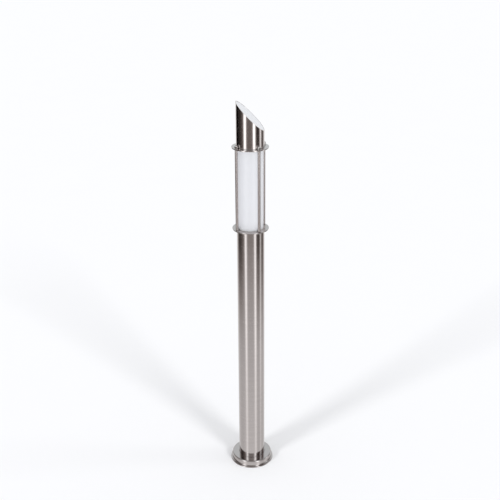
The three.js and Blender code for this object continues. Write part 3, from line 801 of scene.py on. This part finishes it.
def radial(degrees):
    """The level direction at an angle from +X."""
    angle = math.radians(degrees)
    return Vector((math.cos(angle), math.sin(angle), 0))


def socket_screw(shank, length, head, head_height, pitch):
    """A button-head screw with its origin under the head. Its socket and thread are cut in full."""
    dome = head_height * HEAD_DOME_SHARE
    socket = head * SOCKET_SHARE
    socket_floor = head_height - head_height * SOCKET_DEPTH_SHARE
    root = shank - THREAD_DEPTH
    head_side = [
        (head, 0),
        (head, head_height - dome),
        (head - dome, head_height),
        (socket * SOCKET_MOUTH_SHARE, head_height),
    ]
    outline = [
        (0, -length),
        (root, -length),
        *thread(shank, THREAD_DEPTH, pitch, THREAD_END_ROOM - length, -THREAD_END_ROOM),
        (root, 0),
        *rounded(head_side, HEAD_EDGE, closed=False),
        (hexagonal(socket), head_height - SOCKET_MOUTH_DEPTH),
        (hexagonal(socket), socket_floor),
        (0, socket_floor - SOCKET_POINT),
    ]
    return spun(outline, SMALL_ROUND)


# ---- Foot ----


def grub_holes():
    """Cutters for the grub screws' holes through the walls of the pole and the spigot."""
    holes = []
    for angle in GRUB_ANGLES:
        place = (0, 0, GRUB_HEIGHT)
        holes.append(cutter(GRUB_HOLE_RADIUS, GRUB_HOLE_START, GRUB_HOLE_END, place, radial(angle)))
    return holes


def make_foot():
    low, high = box_of("base_plate")
    bracket_screw_x = middle_of("bracket_screw").x
    loops = [(high.x, 0, 0, LARGE_ROUND), (CABLE_HOLE_RADIUS, 0, 0, SMALL_ROUND)]
    for angle in ANCHOR_ANGLES:
        hole = radial(angle) * ANCHOR_CIRCLE_RADIUS
        loops.append((ANCHOR_HOLE_RADIUS, hole.x, hole.y, SMALL_ROUND))
    loops.append((M3_HOLE_RADIUS, bracket_screw_x, 0, SMALL_ROUND))
    add_piece("base_plate", plate(loops, low.z, high.z, DISC_EDGE), "plain_steel")
    flange_bottom = high.z + GAP

    low, high = box_of("foot_spigot")
    spigot = spun(tube_outline(SPIGOT_BORE, high.x, low.z, high.z, DISC_EDGE), MEDIUM_ROUND)
    add_piece("foot_spigot", combined(spigot, grub_holes(), "DIFFERENCE"), "plain_steel")

    low, high = box_of("cable_grommet")
    neck = CABLE_HOLE_RADIUS - GAP
    outline = [
        (GROMMET_BORE, low.z),
        (neck, low.z),
        (neck, flange_bottom),
        (high.x, flange_bottom),
        (high.x, high.z),
        (GROMMET_BORE, high.z),
    ]
    add_piece("cable_grommet", spun(rounded(outline, GROMMET_EDGE), MEDIUM_ROUND), "rubber")

    for number, angle in enumerate(GRUB_ANGLES, start=1):
        add_grub_screw(f"grub_screw_{number}", angle)


def add_grub_screw(node, angle):
    """A headless screw: a cone point, a thread and a hexagon socket in its outer end."""
    start = SPIGOT_BORE + GRUB_TIP_ROOM
    length = box_of("pole")[1].x - GRUB_END_ROOM - start
    root = GRUB_RADIUS - THREAD_DEPTH
    socket_floor = length - GRUB_SOCKET_DEPTH
    thread_end = length - GRUB_THREAD_END_ROOM
    outline = [
        (0, 0),
        (GRUB_RADIUS * GRUB_POINT_SHARE, 0),
        (root, GRUB_POINT_LENGTH),
        *thread(GRUB_RADIUS, THREAD_DEPTH, M5_PITCH, GRUB_THREAD_START, thread_end),
        (root, length),
        (GRUB_SOCKET * SOCKET_MOUTH_SHARE, length),
        (hexagonal(GRUB_SOCKET), length - SOCKET_MOUTH_DEPTH),
        (hexagonal(GRUB_SOCKET), socket_floor),
        (0, socket_floor - GRUB_SOCKET_POINT),
    ]
    place = radial(angle) * start + Vector((0, 0, GRUB_HEIGHT))
    add_piece(node, spun(outline, SMALL_ROUND), "plain_steel", place, radial(angle))


def make_pole():
    """The wall has a seam above the grub holes, so that they only cut into its lowest strip."""
    low, high = box_of("pole")
    bore = high.x - TUBE_WALL
    seam = GRUB_HEIGHT + GRUB_HOLE_STRIP
    outline = [
        (bore, low.z),
        (high.x, low.z),
        (high.x, seam),
        (high.x, high.z),
        (bore, high.z),
        (bore, seam),
    ]
    pole = combined(spun(rounded(outline, EDGE)), grub_holes(), "DIFFERENCE")
    add_piece("pole", pole, "brushed_steel")


def make_base_cover():
    """A spun cover: a rolled lip, a cove, an upright wall and a rolled shoulder round a flat top."""
    low, high = box_of("base_cover")
    shoulder_centre = COVER_BODY_RADIUS - COVER_SHOULDER_RADIUS
    shoulder_height = high.z - COVER_SHOULDER_RADIUS
    inner_radius = COVER_BODY_RADIUS - COVER_WALL
    lip_centre = high.x - COVER_LIP_ROUND
    cove_centre = COVER_BODY_RADIUS + COVER_COVE_RADIUS
    outline = [
        (inner_radius, low.z),
        (high.x - EDGE, low.z),
        (high.x, low.z + EDGE),
        *arc(lip_centre, COVER_LIP_HEIGHT - COVER_LIP_ROUND, COVER_LIP_ROUND, 0, 90),
        *arc(cove_centre, COVER_LIP_HEIGHT + COVER_COVE_RADIUS, COVER_COVE_RADIUS, 270, 180),
        *arc(shoulder_centre, shoulder_height, COVER_SHOULDER_RADIUS, 0, 90),
        *arc(COVER_HOLE_RADIUS + EDGE, high.z - EDGE, EDGE, 90, 180, EDGE_STEPS),
        (COVER_HOLE_RADIUS, high.z - COVER_WALL),
        *arc(shoulder_centre, shoulder_height, COVER_SHOULDER_RADIUS - COVER_WALL, 90, 0),
    ]
    add_piece("base_cover", spun(outline), "brushed_steel", material="polished_steel")


# ---- Terminals inside the foot ----


def make_terminals():
    low, high = box_of("terminal_bracket")
    outline = [
        (low.x, low.z),
        (high.x, low.z),
        (high.x, low.z + SHEET),
        (low.x + SHEET, low.z + SHEET),
        (low.x + SHEET, high.z),
        (low.x, high.z),
    ]
    bracket_screw_x = middle_of("bracket_screw").x
    block_height = middle_of("block_screw").z
    earth_height = middle_of("earth_screw").z
    drills = [
        cutter(M3_HOLE_RADIUS, -DRILL_REACH, DRILL_REACH, (bracket_screw_x, 0, low.z)),
        cutter(M3_HOLE_RADIUS, -DRILL_REACH, DRILL_REACH, (low.x, 0, block_height), (1, 0, 0)),
        cutter(M4_HOLE_RADIUS, -DRILL_REACH, DRILL_REACH, (low.x, 0, earth_height), (1, 0, 0)),
    ]
    bracket = combined(folded(rounded(outline, SHEET_BEND), high.y - low.y), drills, "DIFFERENCE")
    add_piece("terminal_bracket", bevelled(bracket, SHEET_BEVEL), "plain_steel")

    head_bottom = box_of("bracket_screw")[1].z - M3_HEAD_HEIGHT
    screw = socket_screw(*BRACKET_SCREW)
    add_piece("bracket_screw", screw, "plain_steel", (bracket_screw_x, 0, head_bottom))
    for node, sizes, height in (
        ("block_screw", BLOCK_SCREW, block_height),
        ("earth_screw", EARTH_SCREW, earth_height),
    ):
        head_height = sizes[3]
        head_bottom = box_of(node)[0].x + head_height
        add_piece(node, socket_screw(*sizes), "brass", (head_bottom, 0, height), (-1, 0, 0))

    make_terminal_block()


def make_terminal_block():
    """Three poles, each with two screw towers, built upright and laid towards the axis."""
    low, high = box_of("terminal_block")
    depth = high.x - low.x - TOWER_LENGTH
    tower_top = depth + TOWER_LENGTH
    centre = (low + high) / 2
    half = Vector(((high.z - low.z) / 2, (high.y - low.y) / 2))
    pitch = half.y * 2 / BLOCK_POLES
    corners = [(-half.x, 0), (half.x, 0), (half.x, depth), (-half.x, depth)]
    block = folded(rounded(corners, BLOCK_EDGE), half.y * 2)
    towers = []
    holes = [cutter(M3_HOLE_RADIUS, -OVERRUN, depth + OVERRUN, (0, -pitch / 2, 0))]
    for across in (-pitch, 0, pitch):
        for row in (-half.x + TOWER_RADIUS, half.x - TOWER_RADIUS):
            outline = rod_outline(TOWER_RADIUS, depth - OVERRUN, tower_top, TOWER_EDGE)
            tower = spun(outline, SMALL_ROUND)
            tower.transform(shift((row, across, 0)))
            towers.append(tower)
            hole_bottom = tower_top - TOWER_HOLE_DEPTH
            holes.append(cutter(TOWER_HOLE_RADIUS, hole_bottom, tower_top + OVERRUN, (row, across, 0)))
    body = combined(combined(block, towers, "UNION"), holes, "DIFFERENCE")
    body.transform(Matrix.Rotation(-math.pi / 2, 4, "Y"))
    add_piece("terminal_block", body, "terminal_plastic", (high.x, centre.y, centre.z))


def make_inner_lead():
    """The lead leaves the terminal block, swings to the axis and runs up into the lampholder."""
    low, high = box_of("inner_lead")
    points = [(x, y, low.z + rise) for x, y, rise in LEAD_PATH]
    points += [(0, 0, high.z - LEAD_END_LENGTH), (0, 0, high.z)]
    curve = bpy.data.curves.new("inner_lead", "CURVE")
    curve.dimensions = "3D"
    curve.bevel_depth = LEAD_RADIUS * MM
    curve.bevel_resolution = LEAD_RING_STEPS
    curve.use_fill_caps = True
    curve.resolution_u = LEAD_STEPS
    spline = curve.splines.new("BEZIER")
    spline.bezier_points.add(len(points) - 1)
    for bezier_point, place in zip(spline.bezier_points, points):
        bezier_point.co = Vector(place) * MM
        bezier_point.handle_left_type = "AUTO"
        bezier_point.handle_right_type = "AUTO"
    shape = bmesh.new()
    shape.from_mesh(baked(new_object("carrier", curve)))
    bmesh.ops.remove_doubles(shape, verts=shape.verts, dist=LEAD_MERGE_DISTANCE * MM)
    add_piece("inner_lead", finished(shape), "lead_jacket")


# ---- Cage ----


def rod_places():
    """The cage rods' axes, by their node numbers."""
    return {number: middle_of(f"cage_rod_{number}") for number in ROD_NUMBERS}


def make_collars():
    """Thin discs with holes. They cast no shadow on the opal, which passes light from all round."""
    rod_holes = [(M5_HOLE_RADIUS, place.x, place.y, SMALL_ROUND) for place in rod_places().values()]
    bridge_holes = [
        (M3_HOLE_RADIUS, middle_of(f"bridge_screw_{number}").x, 0, SMALL_ROUND) for number in (1, 2)
    ]
    for node, bore, holes in (
        ("lower_collar", LOWER_COLLAR_BORE, rod_holes + bridge_holes),
        ("upper_collar", UPPER_COLLAR_BORE, rod_holes),
    ):
        low, high = box_of(node)
        loops = [(high.x, 0, 0, LARGE_ROUND), (bore, 0, 0, LARGE_ROUND), *holes]
        collar = add_piece(node, plate(loops, low.z, high.z, DISC_EDGE), "brushed_steel")
        collar.visible_shadow = False


def make_cage_rods():
    """Each rod has a threaded stud on top and a tapped hole below. It doesn't darken the opal beside it."""
    shoulder = box_of("upper_collar")[0].z - GAP
    stud_root = M5_RADIUS - THREAD_DEPTH
    for number, place in rod_places().items():
        node = f"cage_rod_{number}"
        low, high = box_of(node)
        hole_top = low.z + ROD_SCREW_HOLE_DEPTH
        side = [
            (M5_HOLE_RADIUS, hole_top),
            (M5_HOLE_RADIUS, low.z),
            (ROD_RADIUS - ROD_CHAMFER / 2, low.z),
            (ROD_RADIUS, low.z + ROD_CHAMFER / 2),
            (ROD_RADIUS, shoulder - ROD_CHAMFER),
            (ROD_RADIUS - ROD_CHAMFER, shoulder),
            (stud_root, shoulder),
        ]
        outline = [
            (0, hole_top),
            *rounded(side, ROD_EDGE, closed=False),
            *thread(M5_RADIUS, THREAD_DEPTH, M5_PITCH, shoulder + STUD_RUN_OUT, high.z - STUD_END_ROOM),
            (stud_root, high.z - STUD_CHAMFER),
            (stud_root - THREAD_DEPTH, high.z),
            (0, high.z),
        ]
        cage_rod = add_piece(node, spun(outline, SMALL_ROUND), "brushed_steel", (place.x, place.y, 0))
        cage_rod.visible_shadow = False
        cage_rod.visible_diffuse = False


def make_rod_ends():
    """Screws under the lower collar, and washers and domed nuts on the upper one."""
    for number, place in rod_places().items():
        low, high = box_of(f"rod_screw_{number}")
        head_top = low.z + ROD_SCREW_HEAD_HEIGHT
        length = high.z - head_top
        screw = socket_screw(M5_RADIUS, length, ROD_SCREW_HEAD_RADIUS, ROD_SCREW_HEAD_HEIGHT, M5_PITCH)
        add_piece(f"rod_screw_{number}", screw, "fastener_steel", (place.x, place.y, head_top), (0, 0, -1))

        low, high = box_of(f"nut_washer_{number}")
        washer = spun(tube_outline(M5_HOLE_RADIUS, (high.x - low.x) / 2, 0, high.z - low.z), SMALL_ROUND)
        add_piece(f"nut_washer_{number}", washer, "fastener_steel", (place.x, place.y, low.z))

        low, high = box_of(f"cap_nut_{number}")
        turn = math.atan2(place.y, place.x)
        nut = cap_nut(high.z - low.z)
        add_piece(f"cap_nut_{number}", nut, "fastener_steel", (place.x, place.y, low.z), turn=turn)


def cap_nut(height):
    """A hexagon with turned corners under a dome, and a blind hole from below."""
    hex_top = height - NUT_DOME_RADIUS
    outline = [
        (0, NUT_HOLE_DEPTH),
        (NUT_HOLE_RADIUS, NUT_HOLE_DEPTH - NUT_HOLE_CONE),
        (NUT_HOLE_RADIUS, NUT_HOLE_CHAMFER_HEIGHT),
        (NUT_HOLE_RADIUS + NUT_HOLE_CHAMFER, 0),
        (hexagonal(NUT_FLAT_DISTANCE, NUT_TURNED_RADIUS), 0),
        (hexagonal(NUT_FLAT_DISTANCE, NUT_CORNER_RADIUS), NUT_EASING),
        (hexagonal(NUT_FLAT_DISTANCE, NUT_CORNER_RADIUS), hex_top - NUT_EASING),
        (hexagonal(NUT_FLAT_DISTANCE, NUT_TURNED_RADIUS), hex_top - NUT_DOME_SEAM),
        *arc(0, hex_top, NUT_DOME_RADIUS, 0, NUT_DOME_END),
        (0, height),
    ]
    return spun(outline, SMALL_ROUND)


# ---- Opal tube ----


def make_diffuser():
    for node, slot, edge in (
        ("diffuser_gasket_lower", "silicone", DIFFUSER_GASKET_EDGE),
        ("diffuser", "opal", DIFFUSER_EDGE),
        ("diffuser_gasket_upper", "silicone", DIFFUSER_GASKET_EDGE),
    ):
        low, high = box_of(node)
        outline = tube_outline(high.x - DIFFUSER_WALL, high.x, low.z, high.z, edge)
        add_piece(node, spun(outline), slot)


# ---- Head ----


def make_head_tube():
    """The cut is at 45 degrees, so its highest point is one radius above the axis."""
    low, high = box_of("head_tube")
    radius = high.x
    outline = tube_outline(radius - TUBE_WALL, radius, low.z, high.z - radius)
    add_piece("head_tube", spun(outline, slanted_above=low.z + SLANT_START), "brushed_steel")


def make_slanted_panel():
    """The opal panel, its gasket and the seat ring are parallel to the slanted cut."""
    for node, slot, bore, edge in (
        ("top_panel", "opal_panel", 0, PANEL_EDGE),
        ("panel_gasket", "silicone", SEAT_BORE, EDGE),
        ("panel_seat", "plain_steel", SEAT_BORE, EDGE),
    ):
        low, high = box_of(node)
        radius = high.x
        bottom = low.z + radius
        top = high.z - radius
        if bore:
            outline = tube_outline(bore, radius, bottom, top, edge)
        else:
            outline = rod_outline(radius, bottom, top, edge)
        add_piece(node, spun(outline, slanted_above=0), slot)


# ---- Lamp ----


def make_holder_bridge():
    low, high = box_of("holder_bridge")
    inner = BRIDGE_HALF_TOP - SHEET
    outline = [
        (low.x, low.z),
        (-inner, low.z),
        (-inner, high.z - SHEET),
        (inner, high.z - SHEET),
        (inner, low.z),
        (high.x, low.z),
        (high.x, low.z + SHEET),
        (BRIDGE_HALF_TOP, low.z + SHEET),
        (BRIDGE_HALF_TOP, high.z),
        (-BRIDGE_HALF_TOP, high.z),
        (-BRIDGE_HALF_TOP, low.z + SHEET),
        (low.x, low.z + SHEET),
    ]
    screw_places = {number: middle_of(f"bridge_screw_{number}").x for number in (1, 2)}
    drills = [cutter(BRIDGE_WIRE_HOLE_RADIUS, -DRILL_REACH, DRILL_REACH, (0, 0, high.z))]
    for x in screw_places.values():
        drills.append(cutter(M3_HOLE_RADIUS, -BRIDGE_DRILL_REACH, BRIDGE_DRILL_REACH, (x, 0, low.z)))
    strap = combined(folded(rounded(outline, SHEET_BEND), high.y - low.y), drills, "DIFFERENCE")
    add_piece("holder_bridge", bevelled(strap, SHEET_BEVEL), "plain_steel")
    for number, x in screw_places.items():
        node = f"bridge_screw_{number}"
        low, high = box_of(node)
        head_bottom = high.z - M3_HEAD_HEIGHT
        screw = socket_screw(M3_RADIUS, head_bottom - low.z, M3_HEAD_RADIUS, M3_HEAD_HEIGHT, M3_PITCH)
        add_piece(node, screw, "plain_steel", (x, 0, head_bottom))


def make_lampholder():
    """A moulded holder with a fluted grip outside and the round thread of the lamp cap inside."""
    low, high = box_of("lampholder")
    radius = high.x
    waist = radius - HOLDER_WAIST_INSET
    waist_top = low.z + HOLDER_WAIST_HEIGHT
    floor = low.z + HOLDER_FLOOR
    rim = radius - HOLDER_RIM_INSET
    grip = fluted(radius, HOLDER_FLUTE_DEPTH, HOLDER_FLUTES)
    foot_inset, foot_height = HOLDER_FOOT_CHAMFER
    mouth_inset, mouth_depth = HOLDER_MOUTH_CHAMFER
    thread_ends = (floor + HOLDER_THREAD_ROOM, high.z - HOLDER_THREAD_ROOM)
    inside = thread(HOLDER_BORE + HOLDER_THREAD_DEPTH, HOLDER_THREAD_DEPTH, LAMP_PITCH, *thread_ends)
    outline = [
        (HOLDER_WIRE_HOLE_RADIUS, low.z),
        (waist - foot_inset, low.z),
        (waist, low.z + foot_height),
        (waist, waist_top),
        (rim, waist_top + HOLDER_FLARE),
        (grip, waist_top + HOLDER_FLARE_END),
        (grip, high.z - HOLDER_GRIP_END),
        (rim, high.z - HOLDER_RIM),
        (radius - HOLDER_MOUTH_INSET, high.z),
        (HOLDER_BORE + mouth_inset, high.z),
        (HOLDER_BORE, high.z - mouth_depth),
        *reversed(inside),
        (HOLDER_BORE, floor),
        (HOLDER_WIRE_HOLE_RADIUS, floor),
    ]
    add_piece("lampholder", spun(outline, MEDIUM_ROUND), "holder_black")


def make_bulb():
    low, high = box_of("bulb_contact")
    contact = [
        (0, low.z),
        (high.x - CONTACT_CHAMFER, low.z),
        (high.x, low.z + CONTACT_CHAMFER),
        (high.x, high.z),
        (0, high.z),
    ]
    add_piece("bulb_contact", spun(rounded(contact, CONTACT_EDGE), SMALL_ROUND), "brass")

    low, high = box_of("bulb_cap")
    outline = [
        (0, low.z),
        (CAP_TIP_RADIUS, low.z),
        (high.x - CAP_CONE_INSET, low.z + CAP_CONE_HEIGHT),
        *thread(high.x, CAP_THREAD_DEPTH, LAMP_PITCH, low.z + CAP_THREAD_START, high.z - CAP_THREAD_END),
        (high.x - CAP_NECK_INSET, high.z - CAP_NECK_HEIGHT),
        (high.x - CAP_RIM_INSET, high.z),
        (0, high.z),
    ]
    add_piece("bulb_cap", spun(outline, MEDIUM_ROUND), "nickel")

    low, high = box_of("bulb_housing")
    outline = [
        (0, low.z),
        (HOUSING_NECK_RADIUS - HOUSING_NECK_CHAMFER, low.z),
        (HOUSING_NECK_RADIUS, low.z + HOUSING_NECK_CHAMFER),
        *flare(high.x, low.z + HOUSING_NECK_LENGTH, high.z - HOUSING_RIM_LENGTH),
        (high.x, high.z - HOUSING_RIM_CHAMFER),
        (high.x - HOUSING_RIM_CHAMFER, high.z),
        (0, high.z),
    ]
    add_piece("bulb_housing", spun(outline, MEDIUM_ROUND), "bulb_housing")

    low, high = box_of("bulb_globe")
    inner = high.x - GLOBE_WALL
    outline = [
        (inner, low.z),
        *arc(0, low.z, high.x, *GLOBE_ARC, GLOBE_STEPS),
        (0, high.z),
        (0, low.z + inner),
        *arc(0, low.z, inner, *GLOBE_INNER_ARC, GLOBE_STEPS),
    ]
    add_piece("bulb_globe", spun(outline, MEDIUM_ROUND), "bulb_opal")


def flare(radius, bottom, top):
    """The bulb housing's side, which swells from its neck to a radius in an S-curve."""
    points = []
    for step in range(FLARE_STEPS + 1):
        share = step / FLARE_STEPS
        eased = share * share * (3 - 2 * share)
        height = bottom + (top - bottom) * share
        points.append((HOUSING_NECK_RADIUS + (radius - HOUSING_NECK_RADIUS) * eased, height))
    return points


# ---- Stage: floor, studio light and camera ----


def make_floor():
    """A pale floor that meets the pale background. Steel reflects the studio in place of it."""
    shape = bmesh.new()
    half = FLOOR_SIZE / 2
    corners = [(-half, -half), (half, -half), (half, half), (-half, half)]
    shape.faces.new([shape.verts.new((x, y, -FLOOR_DROP * MM)) for x, y in corners])
    mesh = bpy.data.meshes.new("floor")
    shape.to_mesh(mesh)
    shape.free()
    floor = new_object("floor", mesh)
    material, graph, shader = new_material("paper_floor", FLOOR_COLOUR)
    darker, lighter = FLOOR_TONES
    paper = graph.noise(graph.place(), FLOOR_NOISE, NOISE_DETAIL)
    tone = graph.mix(paper, shade(FLOOR_COLOUR, darker), shade(FLOOR_COLOUR, lighter))
    graph.feed(shader, {"Base Color": tone, "Roughness": FLOOR_ROUGHNESS, "Specular IOR Level": 0.0})
    mesh.materials.append(material)
    floor.visible_glossy = False


def make_lights():
    """Soft key lights for matt surfaces. Steel reflects the studio's softboxes in place of them."""
    for name, (azimuth, elevation, strength, width) in KEY_LIGHTS.items():
        light = bpy.data.lights.new(name, "SUN")
        light.energy = strength
        light.angle = math.radians(width)
        lamp = new_object(name, light)
        level = math.radians(elevation)
        towards = radial(azimuth) * math.cos(level) + Vector((0, 0, math.sin(level)))
        lamp.rotation_euler = (-towards).to_track_quat("-Z", "Y").to_euler()
        lamp.visible_glossy = False


def make_world():
    """White for the camera, even light for matt surfaces, and a studio for glossy ones to reflect."""
    world = bpy.data.worlds.new("studio")
    world.use_nodes = True
    world.cycles.sampling_method = "NONE"
    bpy.context.scene.world = world
    graph = Graph(world.node_tree)
    direction = graph.add("ShaderNodeTexCoord", {}, output=0)
    camera_azimuth = math.atan2(CAMERA_PLACE[1], CAMERA_PLACE[0])
    turned = graph.add(
        "ShaderNodeVectorRotate",
        {"Vector": direction, "Angle": -math.pi / 2 - camera_azimuth},
        rotation_type="Z_AXIS",
    )
    x, y, z = graph.parts(turned)
    to_degrees = 180 / math.pi
    azimuth = graph.product(graph.math("ARCTAN2", x, graph.product(y, -1.0)), to_degrees)
    elevation = graph.product(graph.math("ARCSINE", z), to_degrees)

    brightness = graph.sum(studio(graph, azimuth, elevation), softboxes(graph, azimuth, elevation))
    brightness = graph.product(brightness, past_black_flag(graph, azimuth, elevation))
    bright_tint = graph.mix(graph.ease(elevation, *COOL_RISE), FLAT_TINT, COOL_TINT)
    tint = graph.mix(graph.ease(brightness, *TINT_BY_BRIGHTNESS), WARM_TINT, bright_tint)
    reflected = graph.add("ShaderNodeVectorMath", {0: tint, 1: brightness}, operation="MULTIPLY")

    path = graph.tree.nodes.new("ShaderNodeLightPath")
    seen_glossy = graph.mix(path.outputs["Is Glossy Ray"], AMBIENT, reflected)
    seen = graph.mix(path.outputs["Is Camera Ray"], seen_glossy, WHITE)
    graph.feed(graph.tree.nodes["Background"], {"Color": seen})


def studio(graph, azimuth, elevation):
    """Dark studio in front, the bright paper sweep behind, and the floor, brighter the nearer it is."""
    off_axis = graph.math("ABSOLUTE", azimuth)
    off_centre = graph.math("ABSOLUTE", graph.math("SUBTRACT", azimuth, FRONT_CENTRE))
    facing = graph.sum(graph.ease(elevation, *FLOOR_FACING), graph.ease(elevation, *FLOOR_FACING_NEAR))
    aside = graph.ease(elevation, *FLOOR_ASIDE)
    floor = graph.mix(graph.ease(off_centre, *FLOOR_SIDES), facing, aside)
    wall = graph.mix(graph.ease(off_centre, *WALL_SIDES), WALL_FACING, graph.ease(elevation, *WALL_ASIDE))
    ceiling = graph.ease(elevation, *CEILING)
    upper = graph.mix(graph.ease(elevation, *WALL_TO_CEILING), wall, ceiling)
    front = graph.mix(graph.ease(elevation, *FLOOR_TO_WALL), floor, upper)
    sweep = graph.sum(graph.ease(elevation, *SWEEP_LOW), graph.ease(elevation, *SWEEP_HIGH))
    return graph.mix(graph.ease(off_axis, *FRONT_TO_SWEEP), front, sweep)


def softboxes(graph, azimuth, elevation):
    """Upright strips of light, brightest near the horizon. Brushed steel draws them out far below it."""
    strips = 0.0
    for low_azimuth, high_azimuth, width, strength in SOFTBOXES:
        middle = graph.ease(elevation, *SOFTBOX_LEAN, low_azimuth, high_azimuth)
        distance = graph.math("DIVIDE", graph.math("SUBTRACT", azimuth, middle), width)
        bell = graph.math("EXPONENT", graph.product(graph.product(distance, distance), -0.5))
        strips = graph.sum(strips, graph.product(bell, strength))
    reach = graph.sum(graph.ease(elevation, *SOFTBOX_LOW), graph.ease(elevation, *SOFTBOX_HIGH))
    upper = graph.product(graph.ease(elevation, *SOFTBOX_FADING), graph.ease(elevation, *SOFTBOX_END))
    return graph.product(strips, graph.product(reach, upper))


def past_black_flag(graph, azimuth, elevation):
    """The share of light that gets past the black flag."""
    across = graph.product(graph.ease(azimuth, *FLAG_FAR_SIDE), graph.ease(azimuth, *FLAG_NEAR_SIDE))
    upright = graph.product(graph.ease(elevation, *FLAG_BOTTOM), graph.ease(elevation, *FLAG_TOP))
    return graph.math("SUBTRACT", 1.0, graph.product(across, upright))


def make_camera():
    camera = bpy.data.cameras.new("camera")
    camera.lens = CAMERA_LENS
    camera.sensor_width = CAMERA_SENSOR
    camera.clip_end = FLOOR_SIZE
    holder = new_object("camera", camera)
    yaw = Matrix.Rotation(math.radians(CAMERA_YAW), 4, "Z")
    pitch = Matrix.Rotation(math.radians(CAMERA_PITCH), 4, "X")
    roll = Matrix.Rotation(math.radians(CAMERA_ROLL), 4, "Z")
    holder.matrix_world = shift(CAMERA_PLACE) @ yaw @ pitch @ roll
    bpy.context.scene.camera = holder
    bpy.context.scene.view_settings.view_transform = "Standard"


make_camera()
make_world()
make_lights()
make_floor()
make_foot()
make_pole()
make_base_cover()
make_terminals()
make_inner_lead()
make_collars()
make_cage_rods()
make_rod_ends()
make_diffuser()
make_head_tube()
make_slanted_panel()
make_holder_bridge()
make_lampholder()
make_bulb()
